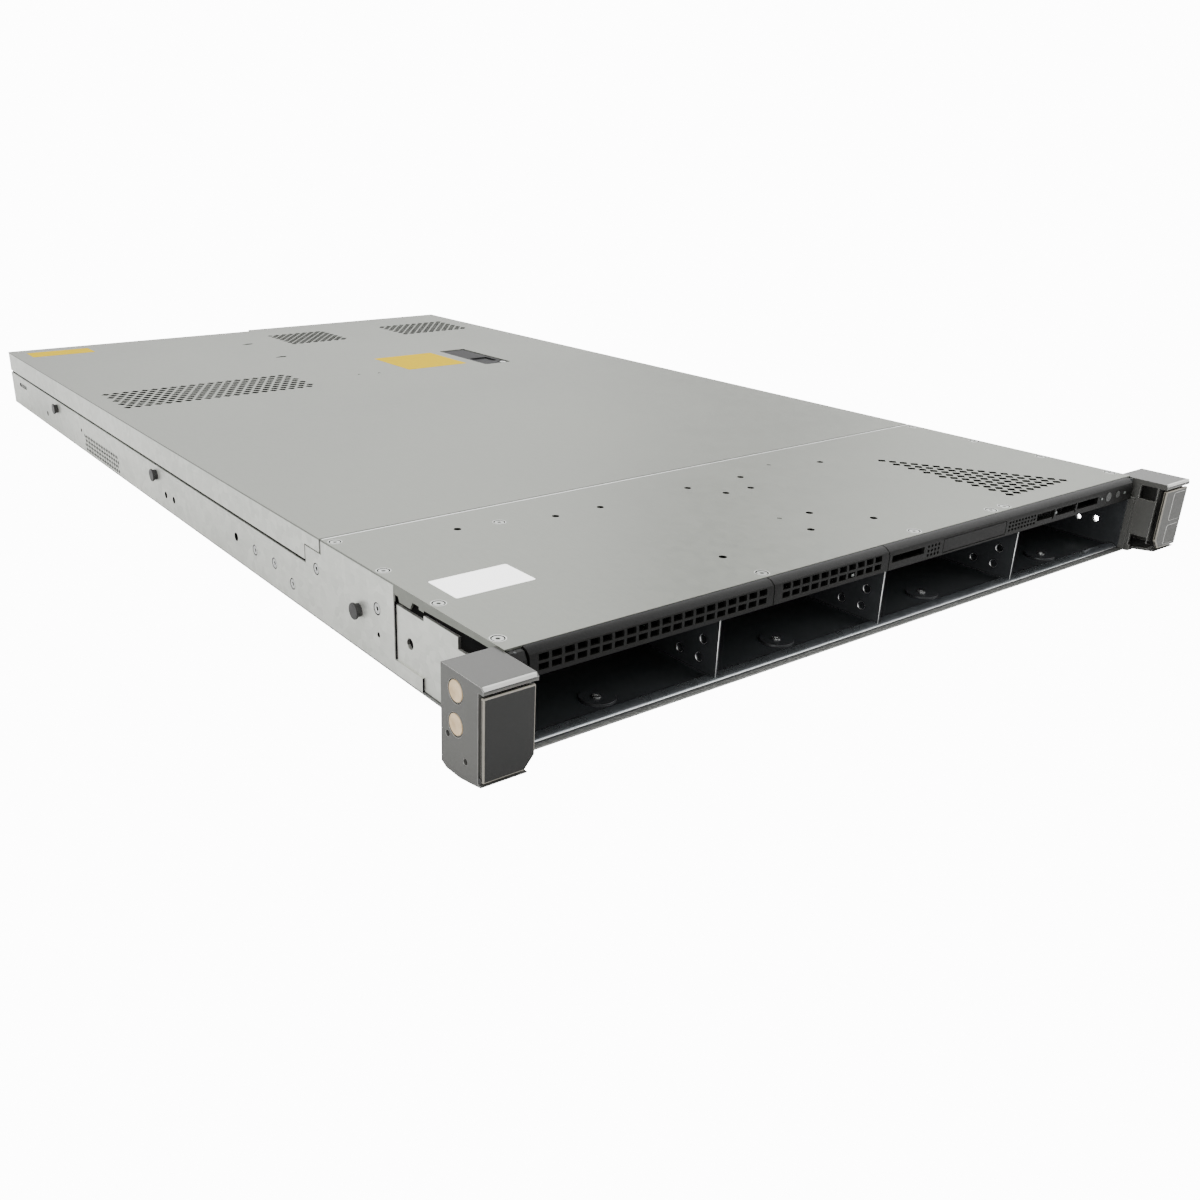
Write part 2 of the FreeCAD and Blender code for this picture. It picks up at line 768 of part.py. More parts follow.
def display_tray():
    """Pull-out diagnostic display: a face, a shallow tray and its raised sides."""
    piece = Piece("display_tray")
    left, right = s.tray_left, s.tray_left + s.tray_width
    top = tray_bottom + s.tray_height
    piece.pad("XZ", strip_face, [rect(left, tray_bottom, right, top)], s.strip_wall)
    piece.pad("XY", tray_bottom, [
        rect(left + 1, strip_face + s.strip_wall / 2, right - 1, strip_face + s.tray_depth)],
        s.tray_height - s.tray_wall)
    piece.pocket("XY", tray_bottom + s.tray_wall, [
        rect(left + 1 + s.tray_wall, strip_face + s.strip_wall + 2, right - 1 - s.tray_wall,
             strip_face + s.tray_depth - s.tray_wall)], s.tray_height)
    return node(piece.body, "display_tray")


def push_button(name, side, radius):
    """A button's cap and stem; it stands in its hole in the strip."""
    cap = rod(name + "_cap", Y_AXIS, (side, strip_face - 0.4, s.button_height), radius,
              s.strip_wall + s.button_stroke)
    stem = rod(name + "_stem", Y_AXIS, (side, strip_face + s.strip_wall, s.button_height),
               radius * 0.5, s.button_length)
    return node(fuse(name, [cap, stem]), name)


def button_block():
    """Small board behind the buttons, with the switch bodies that carry their stems."""
    back = strip_face + s.strip_wall + s.button_length + s.button_stroke + s.button_gap
    left = s.power_button_side - 8
    right = s.uid_button_side + 8
    plate = box("button_board_plate", (left, back + 4, s.shelf_height + s.cover_sheet),
                (right, back + 4 + s.board_sheet, s.button_height + 4))
    foot = box("button_board_foot", (left, back + 4, s.shelf_height + s.cover_sheet),
               (right, back + 16, s.shelf_height + s.cover_sheet + s.board_sheet))
    pieces = [plate, foot]
    for k, side in enumerate((s.power_button_side, s.uid_button_side)):
        pieces.append(box(f"switch_{k}", (side - 3, back, s.button_height - 3),
                          (side + 3, back + 4, s.button_height + 3)))
    return node(fuse("button_board", pieces), "button_board")


def status_lights():
    """Clear light pipes in the strip and the blanks."""
    spots = ((-27.9, 3.4), (135.2, 5.0), (180.0, 5.0), (203.5, 5.0))
    lights = [box(f"light_{k}", (x - 0.8, strip_face - 0.5, s.strip_bottom + z - 0.6),
                  (x + 0.8, strip_face, s.strip_bottom + z + 0.6))
              for k, (x, z) in enumerate(spots)]
    return node(group("status_lights", lights), "status_lights")


# --- rack ears -------------------------------------------------------------------------------------

ear_inside = half_width
ear_outside = ear_inside + s.ear_width
ear_front = front - s.ear_reach
ear_back = front + s.ear_back
disc_seat = ear_outside - s.disc_thickness
disc_centres = [(front - s.disc_setback, height) for height in (s.disc_upper, s.disc_lower)]
lever_axis_depth = ear_front + s.lever_thickness / 2
lever_outer = ear_outside - s.ear_wall - s.running_gap


def ear(side, name):
    """Hollow rack ear with chamfered ends, open at the front and pierced on its inner side."""
    piece = Piece(name)
    cut_back = s.ear_chamfer
    low = sized(0)
    piece.pad("YZ", span(side, ear_inside, ear_outside), [[
        (ear_front, low + 4.2), (ear_front + 1.2, low + 2.4), (ear_front + 6.3, low + 1.4),
        (ear_front + 15, low), (ear_back - cut_back, low), (ear_back, low + 1.6),
        (ear_back, s.ear_height), (ear_front + 1.2, s.ear_height), (ear_front, s.ear_height - 1.2)]],
        s.ear_width)
    cavity_top = s.lever_top + s.lip_gap
    lip_bottom = s.lever_top + s.lip_gap
    across = span(side, ear_inside + s.ear_wall, ear_outside - s.ear_wall)
    cavity_width = s.ear_width - 2 * s.ear_wall
    piece.pocket("YZ", across, [[
        (ear_front + s.ear_wall, low + 4.4), (ear_front + 6.3, low + 3.2), (ear_front + 15, low + 1.8),
        (ear_back - s.ear_wall - cut_back, low + 1.8), (ear_back - s.ear_wall, low + 3.2),
        (ear_back - s.ear_wall, cavity_top), (ear_front + s.ear_wall, cavity_top)]], cavity_width)
    front_side = span(side, ear_inside, ear_outside - s.ear_wall)
    mouth_low = s.lever_axis_height - s.lever_thickness / 2 - s.running_gap
    mouth_back = ear_front + s.lever_thickness + 2 * s.running_gap
    piece.pocket("YZ", front_side, [
        rect(ear_front - 1, mouth_low, mouth_back, lip_bottom)], s.ear_width - s.ear_wall)
    window = [rect(ear_front + 5, low + 31.5, ear_back - 13, cavity_top),
              rect(ear_front + 5, low + 3.6, ear_back - 13, low + 10.4)]
    piece.pocket("YZ", span(side, ear_inside - 1, ear_inside + s.ear_wall + 0.5), window,
                 s.ear_wall + 1.5)
    screw = side * (ear_outside - s.rack_hole_inset)
    piece.pocket("XZ", ear_back - 2 * s.ear_wall, [
        Ring(screw, s.rack_screw_height, s.rack_screw_radius + s.running_gap / 2)], 4 * s.ear_wall)
    discs = [Ring(depth, height, s.disc_radius) for depth, height in disc_centres]
    piece.pocket("YZ", span(side, disc_seat, ear_outside), discs, s.disc_thickness)
    piece.pocket("YZ", span(side, ear_outside - s.ear_wall - 1, ear_outside + 1), [
        Ring(lever_axis_depth, s.lever_axis_height, s.lever_pin_radius)], s.ear_wall + 2)
    return node(piece.body, name)


def ear_discs():
    """Flush plugs in the outer side of each ear."""
    discs = []
    for side in SIDES:
        turn = FreeCAD.Rotation(FreeCAD.Vector(0, 1, 0), 90 * side)
        for k, (depth, height) in enumerate(disc_centres):
            discs.append(rod(f"disc_{side + 1}_{k}", turn, (side * disc_seat, depth, height),
                             s.disc_radius, s.disc_thickness))
    return node(group("ear_discs", discs), "ear_discs")


def ear_brackets():
    """Inner plates that carry the ears and hook behind the side walls."""
    brackets = []
    for side in SIDES:
        piece = Piece(f"ear_bracket_{side + 1}")
        tongue = front + 59
        piece.pad("YZ", span(side, cage_outside, wall_inside), [[
            (front - 6, floor_top + 0.3), (front + s.bracket_back, floor_top + 0.3),
            (front + s.bracket_back, s.bracket_height - 2.5), (tongue, s.bracket_height - 2.5),
            (tongue, s.bracket_height), (front + 32, s.bracket_height),
            (front + 26, s.bracket_height - 4), (front - 6, s.bracket_height - 4)]],
            s.bracket_sheet)
        piece.pad("YZ", span(side, cage_outside, ear_inside), [
            rect(front - 6, 4 + floor_top, front + 5, s.bracket_height - 6)], ear_inside - cage_outside)
        piece.pocket("YZ", span(side, cage_outside - 1, ear_inside + 1), [
            Ring(front + s.bracket_hole_depth, s.bracket_hole_height, s.bracket_hole_radius)],
            5 * s.sheet)
        brackets.append(piece.body)
    return node(group("ear_brackets", brackets), "ear_brackets")


def lever(side, name):
    """Quick-release flap: a plate with a rounded foot that turns on the pin."""
    piece = Piece(name)
    half = s.lever_thickness / 2
    axis_y, axis_z = lever_axis_depth, s.lever_axis_height
    round_foot = []
    for k in range(7):
        turn = math.pi * k / 6
        round_foot.append((axis_y - half * math.cos(turn), axis_z - half * math.sin(turn)))
    piece.pad("YZ", span(side, ear_inside, lever_outer), [
        round_foot + [(axis_y + half, s.lever_top), (axis_y - half + 1, s.lever_top),
                      (axis_y - half, s.lever_top - 1)]], lever_outer - ear_inside)
    piece.pocket("YZ", span(side, ear_inside - 1, lever_outer + 1), [
        Ring(axis_y, axis_z, s.lever_pin_radius + s.pivot_gap)], lever_outer - ear_inside + 2)
    across = span(side, ear_inside + 2.5, lever_outer - 2.5)
    piece.pocket("XZ", axis_y, [rect(across, axis_z + half + 2, across + (lever_outer - ear_inside - 5),
                                     s.lever_top - 3)], s.lever_thickness)
    return node(piece.body, name)


def lever_pins():
    pins = []
    for side in SIDES:
        start = span(side, ear_inside, ear_outside)
        pins.append(rod(f"lever_pin_{side + 1}", X_AXIS, (start, lever_axis_depth, s.lever_axis_height),
                        s.lever_pin_radius, s.ear_width))
    return node(group("lever_pins", pins), "lever_pins")


def rack_screws():
    """Captive screws behind the flaps."""
    screws = []
    for side in SIDES:
        x = side * (ear_outside - s.rack_hole_inset)
        seat = ear_back - s.ear_wall
        head = rod(f"rack_head_{side + 1}", Y_AXIS, (x, seat - 5, s.rack_screw_height), 4.5, 5 * s.sheet)
        shank = rod(f"rack_shank_{side + 1}", Y_AXIS, (x, seat, s.rack_screw_height),
                    s.rack_screw_radius, s.ear_wall + s.rack_screw_reach)
        screws.append(fuse(f"rack_screw_{side + 1}", [head, shank]))
    return node(group("rack_screws", screws), "rack_screws")


# --- cover and its latch ---------------------------------------------------------------------------

latch_left = s.latch_side - s.latch_width / 2
latch_right = s.latch_side + s.latch_width / 2
latch_start = front + s.latch_front
latch_end = latch_start + s.latch_length
well_bottom = s.body_height - s.latch_well
latch_axis_depth = latch_end - 5
latch_axis_height = s.body_height - 3.2


def access_cover():
    """Flat sheet of the cover: stepped rear edge, vents and the latch opening."""
    piece = Piece("access_cover")
    piece.pad("XY", s.body_height - s.cover_sheet, [[
        (-half_width, cover_front), (half_width, cover_front), (half_width, rear_right),
        (rear_step_side, rear_right), (rear_step_side, rear_left), (-half_width, rear_left)]],
        s.cover_sheet)
    top = s.body_height - 2 * s.cover_sheet
    piece.pocket("XY", top, [
        rect(latch_left, latch_start, latch_right, latch_end),
        rect(-29, front + 598, -23, front + 608), rect(-29, front + 674, -23, front + 684)],
        3 * s.cover_sheet)
    vents = staggered(-203.5, front + 473.5, -58, front + 530, 18.0, 14.0, 6.0)
    vents += staggered(9, front + 657.5, 66, front + 714, 18.8, 14.0, 6.0)
    vents += staggered(124, front + 653.5, 197, front + 709, 18.2, 13.8, 6.0)
    piece.pocket("XY", top, vents, 3 * s.cover_sheet, tied=False)
    return node(piece.body, "access_cover")


def cover_skirts():
    """The cover's folded side skirts, each a short stepped length and a long one."""
    skirts = []
    top = s.body_height - s.cover_sheet
    step_back = cover_front + s.skirt_step
    for side in SIDES:
        back = rear_left if side < 0 else rear_right
        near, far = span(side, skirt_inside, half_width), span(side, skirt_inside, half_width) + s.cover_sheet
        skirts.append(box(f"skirt_front_{side + 1}", (near, cover_front, skirt_front_bottom), (far, step_back, top)))
        skirts.append(box(f"skirt_rear_{side + 1}", (near, step_back, skirt_bottom), (far, back, top)))
    return node(group("cover_skirts", skirts), "cover_skirts")


def latch_well():
    """Moulded tub under the cover that holds the latch lever."""
    piece = Piece("latch_well")
    wall = 1.5
    top = s.body_height - s.cover_sheet
    piece.pad("XY", well_bottom, [
        rect(latch_left - wall, latch_start - wall, latch_right + wall, latch_end + wall)],
        top - well_bottom)
    piece.pocket("XY", well_bottom + wall, [rect(latch_left, latch_start, latch_right, latch_end)],
                 s.latch_well * 1)
    piece.pad("XY", well_bottom + wall / 2, [
        rect(latch_left + 2, latch_start + 1, latch_right - 2, latch_start + 9)],
        s.latch_well - s.latch_thickness - wall)
    piece.pocket("YZ", latch_left - 2 * wall, [
        Ring(latch_axis_depth, latch_axis_height, s.trunnion_radius + s.pivot_gap)],
        s.latch_width + 4 * wall)
    return node(piece.body, "latch_well")


def cover_latch():
    """Latch lever: a ribbed plate that lies in the well and turns up about its rear end."""
    piece = Piece("cover_latch")
    gap = s.running_gap
    top = s.body_height - gap
    bottom = top - s.latch_thickness
    piece.pad("YZ", latch_left + gap, [[
        (latch_start + 1, top), (latch_start + 1, bottom), (latch_axis_depth - 2, bottom),
        (latch_axis_depth - 2, latch_axis_height - 2.9), (latch_axis_depth + 2, latch_axis_height - 2.9),
        (latch_axis_depth + 2.9, latch_axis_height), (latch_axis_depth + 2, top)]],
        s.latch_width - 2 * gap)
    piece.pocket("XY", top - 1.2, [
        rect(latch_left + 3, latch_start + 12, latch_right - 3, latch_start + 30)], s.latch_thickness)
    for start in (latch_left - 1.2, latch_right - 2):
        piece.pad("YZ", start, [Ring(latch_axis_depth, latch_axis_height, s.trunnion_radius)], 3.2)
    piece.pocket("XY", bottom - 1, [
        rect(latch_right - 6.5, latch_start, latch_right, latch_start + 8)], s.latch_thickness + 2)
    return node(piece.body, "cover_latch")


def latch_screw():
    """Locking screw at the free end of the lever."""
    x, y = latch_right - 3.2, latch_start + 4
    seat = well_bottom + s.latch_well - s.latch_thickness - 0.75
    head = rod("latch_screw_head", Z_AXIS, (x, y, seat), 2.6, s.body_height - s.running_gap - seat)
    socket = rod("latch_screw_socket", Z_AXIS, (x, y, s.body_height - 1.8), 1.3, 3 * s.sheet)
    return node(cut("latch_screw", head, socket), "latch_screw")


# --- boards, fans and coolers ----------------------------------------------------------------------

board_rear = front + 744
supply_front = rear_left - s.supply_length


def system_board():
    """Main board on the standoffs with its two sockets; it narrows beside the power supplies."""
    piece = Piece("system_board")
    corner = supply_front - 14
    piece.pad("XY", s.board_height, [[
        (-board_side, front + s.board_front), (board_side, front + s.board_front),
        (board_side, board_rear), (supply_zone + 2, board_rear), (supply_zone + 2, corner),
        (-board_side, corner)]], s.board_sheet)
    half = s.socket_size / 2
    depth = front + s.processor_depth
    piece.pad("XY", board_top - s.board_sheet / 2, [
        rect(side * s.processor_side - half, depth - half, side * s.processor_side + half, depth + half)
        for side in SIDES], s.board_sheet / 2 + s.socket_height)
    return node(piece.body, "system_board")


def heatsink(side, name):
    """Finned cooler: a base plate on the socket and thin upright fins along the air flow."""
    piece = Piece(name)
    left = side * s.processor_side - s.cooler_width / 2
    low = board_top + s.socket_height
    start = front + s.processor_depth - s.cooler_depth / 2
    piece.pad("XY", low, [rect(left, start, left + s.cooler_width, start + s.cooler_depth)], s.cooler_base)
    count = int((number(s.cooler_width) - number(s.fin_thickness)) / number(s.fin_pitch)) + 1
    fin = piece.pad("XY", low + s.cooler_base / 2, [
        rect(left, start, left + s.fin_thickness, start + s.cooler_depth)],
        s.cooler_top - low - s.cooler_base / 2)
    piece.repeat(fin, "X", (count - 1) * s.fin_pitch, count)
    return node(piece.body, name)


def memory_places():
    """Middle line of each memory slot."""
    return [side * middle + (k - 2.5) * s.memory_pitch
            for side in SIDES for middle in (s.memory_group_outer, s.memory_group_inner)
            for k in range(6)]


def memory_slots():
    half = s.memory_slot_width / 2
    start = front + s.processor_depth - s.memory_length / 2
    slots = [box(f"memory_slot_{k}", (x - half, start, board_top),
                 (x + half, start + s.memory_length, board_top + s.memory_slot_height))
             for k, x in enumerate(memory_places())]
    return node(group("memory_slots", slots), "memory_slots")


def memory_modules():
    """Eight fitted modules, standing on their slots."""
    start = front + s.processor_depth - s.memory_length / 2 + 4
    modules = [box(f"memory_module_{k}", (x - 0.7, start, board_top + s.memory_slot_height),
                   (x + 0.7, start + s.memory_length - 8, s.memory_top))
               for k, x in enumerate(memory_places()) if k % 6 in (0, 3)]
    return node(group("memory_modules", modules), "memory_modules")


def air_baffle():
    """Moulded duct over the coolers, folded down at its sides to the board."""
    piece = Piece("air_baffle")
    outer = s.processor_side + s.cooler_width / 2 + 4
    inner = s.processor_side - s.cooler_width / 2 - 4
    start = front + s.baffle_front
    top, wall = s.baffle_top, s.baffle_wall
    piece.pad("XZ", start, [[
        (-outer, board_top), (-outer + wall, board_top), (-outer + wall, top - wall),
        (-inner, top - wall), (-inner, board_top), (-inner + wall, board_top),
        (-inner + wall, top - wall), (inner - wall, top - wall), (inner - wall, board_top),
        (inner, board_top), (inner, top - wall), (outer - wall, top - wall),
        (outer - wall, board_top), (outer, board_top), (outer, top), (-outer, top)]],
        s.baffle_depth)
    piece.pocket("XY", top - 2 * wall, [
        rect(-inner + 8, start + 12, inner - 8, start + s.baffle_depth - 12)], 3 * wall)
    return node(piece.body, "air_baffle")


FAN_COUNT = 5


def fan_middles():
    return [(k - (FAN_COUNT - 1) / 2) * s.fan_pitch for k in range(FAN_COUNT)]


fan_bottom = floor_top + 0.4
fan_middle_height = fan_bottom + s.fan_size / 2


def fan_bulkhead():
    """Folded sheet in front of the fans, with a square mouth for each."""
    piece = Piece("fan_bulkhead")
    depth = front + s.bulkhead_depth
    outer = jog_inside - s.running_gap
    piece.pad("XZ", depth, [rect(-outer, floor_top, outer, jog_top - 0.6)], s.sheet)
    piece.pad("XY", floor_top, [rect(-outer, depth - 10, outer, depth + s.sheet)], s.sheet)
    reach = s.fan_size / 2 - 2
    piece.pocket("XZ", depth - 1, [
        rect(x - reach, fan_middle_height - reach, x + reach, fan_middle_height + reach - 2)
        for x in fan_middles()], 3 * s.sheet)
    return node(piece.body, "fan_bulkhead")


def fan_frames():
    """Square fan frames: a round bore, a motor plate and four struts at the outlet."""
    frames = []
    half = s.fan_size / 2
    start = front + s.fan_front - 1
    for k, x in enumerate(fan_middles()):
        body = box(f"fan_body_{k}", (x - half, start, fan_bottom),
                   (x + half, start + s.fan_depth, fan_bottom + s.fan_size))
        bore = rod(f"fan_bore_{k}", Y_AXIS, (x, start - 1, fan_middle_height), s.fan_bore,
                   s.fan_depth + 2)
        plate = box(f"fan_motor_plate_{k}", (x - 6, start + s.fan_depth - 3, fan_middle_height - 6),
                    (x + 6, start + s.fan_depth, fan_middle_height + 6))
        bearing = rod(f"fan_bearing_{k}", Y_AXIS, (x, start + s.fan_depth - 13, fan_middle_height),
                      s.bearing_radius, 10.5 * s.sheet)
        struts = [
            box(f"fan_strut_a_{k}", (x - half + 0.5, start + s.fan_depth - 3, fan_middle_height - 1),
                (x + half - 0.5, start + s.fan_depth, fan_middle_height + 1)),
            box(f"fan_strut_b_{k}", (x - 1, start + s.fan_depth - 3, fan_bottom + 0.5),
                (x + 1, start + s.fan_depth, fan_bottom + s.fan_size - 0.5))]
        frames.append(fuse(f"fan_frame_{k}", [cut(f"fan_shell_{k}", body, bore), plate, bearing] + struts))
    return node(group("fan_frames", frames), "fan_frames")


def fan_rotor(index, x):
    """Rotor: a hub cup that runs on the bearing, with five pitched blades."""
    start = number(front + s.fan_front) + 1.5
    hub_length = number(s.fan_depth) - 7.5
    hub_radius = number(s.hub_radius)
    tip = number(s.fan_tip)
    hub = Part.makeCylinder(hub_radius, hub_length)
    hole = Part.makeCylinder(number(s.bearing_radius + s.running_gap), hub_length - 4,
                             FreeCAD.Vector(0, 0, 4))
    rotor = hub.cut(hole)
    blade = pitched_blade(hub_radius - 1.2, tip, hub_length)
    blades = []
    for k in range(5):
        copy = blade.copy()
        copy.rotate(FreeCAD.Vector(), FreeCAD.Vector(0, 0, 1), 72 * k)
        blades.append(copy)
    rotor = rotor.fuse(blades)
    name = f"fan_rotor_{index}"
    obj = doc.addObject("Part::Feature", name)
    obj.Shape = rotor
    obj.Placement = FreeCAD.Placement(
        FreeCAD.Vector(number(x), start, number(fan_middle_height)), Y_AXIS)
    return node(obj, name)


def pitched_blade(root, tip, length):
    """One blade: a flat plate set across the air flow."""
    chord = length * 0.9
    blade = Part.makeBox(tip - 1.3 - root, 1.2, chord, FreeCAD.Vector(root, -0.6, -chord / 2))
    blade.rotate(FreeCAD.Vector(), FreeCAD.Vector(1, 0, 0), 40)
    blade.translate(FreeCAD.Vector(0, 0, length / 2))
    return blade


# --- power supplies --------------------------------------------------------------------------------

def psu_bay():
    """Sheets between and beside the two supplies, a foot that joins them and a rear top rail."""
    starts = [left + s.supply_width + s.supply_clearance for left in SUPPLIES]
    walls = [box(f"supply_wall_{k}", (start, supply_front - 8, floor_top),
                 (start + s.sheet, rear_left - k * s.sheet, jog_top - s.supply_lift))
             for k, start in enumerate(starts)]
    foot = box("supply_foot", (starts[0] + s.sheet, supply_front - 8, floor_top),
               (starts[1], supply_front - 1, floor_top + s.sheet))
    rail = box("supply_rail", (-jog_inside, rear_left - s.sheet, supply_bottom + s.supply_height + s.running_gap),
               (starts[0], rear_left, jog_top))
    return node(group("psu_bay", walls + [foot, rail]), "psu_bay")


def power_board():
    """Upright board that the supplies plug into, with one edge socket each."""
    depth = supply_front - 12
    board = box("power_board_plate", (-supply_side, depth, floor_top), (supply_zone - 2, depth + s.board_sheet, floor_top + 30))
    sockets = [box(f"power_socket_{k}", (left + 20, depth + s.board_sheet, floor_top + 6),
                   (left + s.supply_width - 20, depth + 10, floor_top + 18)) for k, left in enumerate(SUPPLIES)]
    return node(fuse("power_board", [board] + sockets), "power_board")


def supply_case(index, left):
    """Supply housing with rounded long edges, fan mouth, inlet recess and intake slots."""
    name = f"psu_{index}_case"
    piece = Piece(name)
    low = supply_bottom
    top = low + s.supply_height
    right = left + s.supply_width
    piece.pad("XZ", supply_front, [[
        (left + 1, low), (right - 1, low), (right, low + 1), (right, top - 1), (right - 1, top),
        (left + 1, top), (left, top - 1), (left, low + 1)]], s.supply_length)
    middle = (low + top) / 2
    piece.pocket("XZ", rear_left - 10, [Ring(left + 22, middle, 16.5)], 11 * s.sheet)
    piece.pad("XZ", rear_left - 11, [Ring(left + 22, middle, 6)], 8 * s.sheet)
    piece.pocket("XZ", rear_left - 18, [
        rect(right - 12 - s.inlet_width, middle - s.inlet_height / 2, right - 12, middle + s.inlet_height / 2)],
        19 * s.sheet)
    piece.pocket("XZ", rear_left - 24, [rect(right - 10.4, middle - 8, right - 4.5, middle + 8)], 25 * s.sheet)
    piece.pocket("XZ", supply_front - 1, [
        rect(left + 8 + 14 * k, middle + 4, left + 18 + 14 * k, top - 5) for k in range(5)], 5 * s.sheet)
    return node(piece.body, name)


def supply_inlet(index, left):
    """Mains inlet: a moulded socket with three blades."""
    right = left + s.supply_width
    middle = supply_bottom + s.supply_height / 2
    x0, x1 = right - 12 - s.inlet_width, right - 12
    body = box(f"inlet_body_{index}", (x0, rear_left - 18, middle - s.inlet_height / 2),
               (x1, rear_left + 1, middle + s.inlet_height / 2))
    mouth = box(f"inlet_mouth_{index}", (x0 + 2, rear_left - 15, middle - s.inlet_height / 2 + 2.5),
                (x1 - 2, rear_left + 2, middle + s.inlet_height / 2 - 2.5))
    centre = (x0 + x1) / 2
    blades = [box(f"inlet_blade_{index}_{k}", (centre + dx - 1, rear_left - 16, middle + dz - 2),
                  (centre + dx + 1, rear_left - 2, middle + dz + 2))
              for k, (dx, dz) in enumerate(((-7, -2), (0, 2), (7, -2)))]
    name = f"psu_{index}_inlet"
    return node(fuse(name, [cut(f"inlet_shell_{index}", body, mouth)] + blades), name)


def supply_handle(index, left):
    """Bent flat pull handle over the fan mouth."""
    name = f"psu_{index}_handle"
    piece = Piece(name)
    middle = supply_bottom + s.supply_height / 2
    x0, x1 = left + 4, left + 40
    reach = s.handle_reach
    wire = s.handle_wire
    piece.pad("XY", middle - 5, [[
        (x0, rear_left), (x0 + wire, rear_left), (x0 + wire, rear_left + reach - wire),
        (x1 - wire, rear_left + reach - wire), (x1 - wire, rear_left), (x1, rear_left),
        (x1, rear_left + reach - 2), (x1 - 2, rear_left + reach), (x0 + 2, rear_left + reach),
        (x0, rear_left + reach - 2)]], 10 * s.sheet)
    return node(piece.body, name)


def supply_latch(index, left):
    """Release tab beside the inlet; it rocks on its round root when squeezed sideways."""
    name = f"psu_{index}_latch"
    piece = Piece(name)
    across = left + s.supply_width - 7
    middle = supply_bottom + s.supply_height / 2
    pivot = rear_left - 24 + 1 + s.pivot_gap
    piece.pad("XY", middle - 6, [Ring(across, pivot, 1 * s.sheet)], 12 * s.sheet)
    piece.pad("XY", middle - 6, [[
        (across - 0.9, pivot), (across + 0.9, pivot), (across + 1, rear_left + 8),
        (across - 0.5, rear_left + 12), (across - 2, rear_left + 12), (across - 1, rear_left + 8)]],
        12 * s.sheet)
    return node(piece.body, name)


# --- rear: riser and ports -------------------------------------------------------------------------

def riser_bracket():
    """Folded cage that holds the riser board and the slot covers."""
    piece = Piece("riser_bracket")
    start = rear_right - 175
    left = riser_left
    piece.pad("XZ", start, [[
        (left, board_top + 14), (left + s.sheet, board_top + 14), (left + s.sheet, jog_top - 2),
        (left + 90, jog_top - 2), (left + 90, jog_top - 1), (left, jog_top - 1)]], 173 * s.sheet)
    piece.pocket("XY", jog_top - 4, [rect(left + 14, start + 14, left + 84, start + 110)], 5 * s.sheet)
    return node(piece.body, "riser_bracket")


def riser_board():
    board = box("riser_plate", (riser_left - s.board_sheet, rear_right - 170, board_top),
                (riser_left, rear_right - 50, jog_top - 4))
    slot = box("riser_slot", (riser_left + s.sheet, rear_right - 150, board_top + 18),
               (riser_left + s.sheet + 7, rear_right - 62, board_top + 26))
    return node(fuse("riser_board", [board, slot]), "riser_board")


def slot_covers():
    """Blanking plates in the two expansion openings."""
    lap = 1.8
    covers = [box(f"slot_cover_{k}", (x - lap, rear_right - 2 * s.sheet, SLOT_BOTTOM - lap),
                  (x + slot_width + lap, rear_right - s.sheet, SLOT_BOTTOM + SLOT_HEIGHT + lap / 2))
              for k, x in enumerate(slot_lefts)]
    return node(group("slot_covers", covers), "slot_covers")


def port_shell(name, depth):
    """Connector housing with its mouth at the rear wall."""
    share, width, height = REAR_PORTS[name]
    x = supply_zone + share * zone_width
    back = rear_left if number(x) < number(rear_step_side) else rear_right
    body = box(name + "_body", (x, back - depth, board_top), (x + width, back, board_top + height))
    mouth = box(name + "_mouth", (x + 1.6, back - depth + 3, board_top + 1.6),
                (x + width - 1.6, back + 1, board_top + height - 1.6))
    return cut(name, body, mouth)


def network_ports():
    return node(group("network_ports", [port_shell(f"network_{k}", 21) for k in range(1, 5)]),
                "network_ports")


def peripheral_ports():
    """Two USB ports, a display port and a serial port."""
    shells = [port_shell("usb_1", 18), port_shell("usb_2", 18),
              port_shell("video", 12), port_shell("serial", 12)]
    return node(group("peripheral_ports", shells), "peripheral_ports")


# --- build -----------------------------------------------------------------------------------------

base_pan()
side_walls()
rear_panel()
front_top_plate()
top_screws()
side_screws()
rail_studs()
drive_cage()
cage_sides()
bay_dividers()
cage_shelf()
drive_backplane()
grille_blanks()
control_strip()
display_tray()
push_button("power_button", s.power_button_side, s.power_button_radius)
push_button("uid_button", s.uid_button_side, s.uid_button_radius)
button_block()
status_lights()
ear(-1, "left_ear")
ear(1, "right_ear")
ear_discs()
ear_brackets()
lever(-1, "left_lever")
lever(1, "right_lever")
lever_pins()
rack_screws()
access_cover()
cover_skirts()
latch_well()
cover_latch()
latch_screw()
system_board()
heatsink(-1, "heatsink_left")
heatsink(1, "heatsink_right")
memory_slots()
memory_modules()
air_baffle()
fan_bulkhead()
fan_frames()
for index, x in enumerate(fan_middles(), 1):
    fan_rotor(index, x)
psu_bay()
power_board()
for index, left in enumerate(SUPPLIES, 1):
    supply_case(index, left)
    supply_inlet(index, left)
    supply_handle(index, left)
    supply_latch(index, left)
riser_bracket()
riser_board()
slot_covers()
network_ports()
peripheral_ports()

doc.recompute()
for obj in doc.Objects:
    if "Invalid" in obj.State or "Error" in obj.State:
        raise RuntimeError(f"{obj.Name} failed: {obj.State}")
    if obj.TypeId == "PartDesign::Pocket" and obj.BaseFeature.Shape.Volume - obj.Shape.Volume < 0.01:
        raise RuntimeError(f"{obj.Name} cuts nothing")
for obj in NODES:
    if obj.Shape.isNull() or not obj.Shape.isValid() or not obj.Shape.Solids:
        raise RuntimeError(f"{obj.Label} has no valid shape")

os.makedirs("parts", exist_ok=True)
for obj in NODES:
    obj.Shape.exportStep(f"parts/{obj.Label}.step")
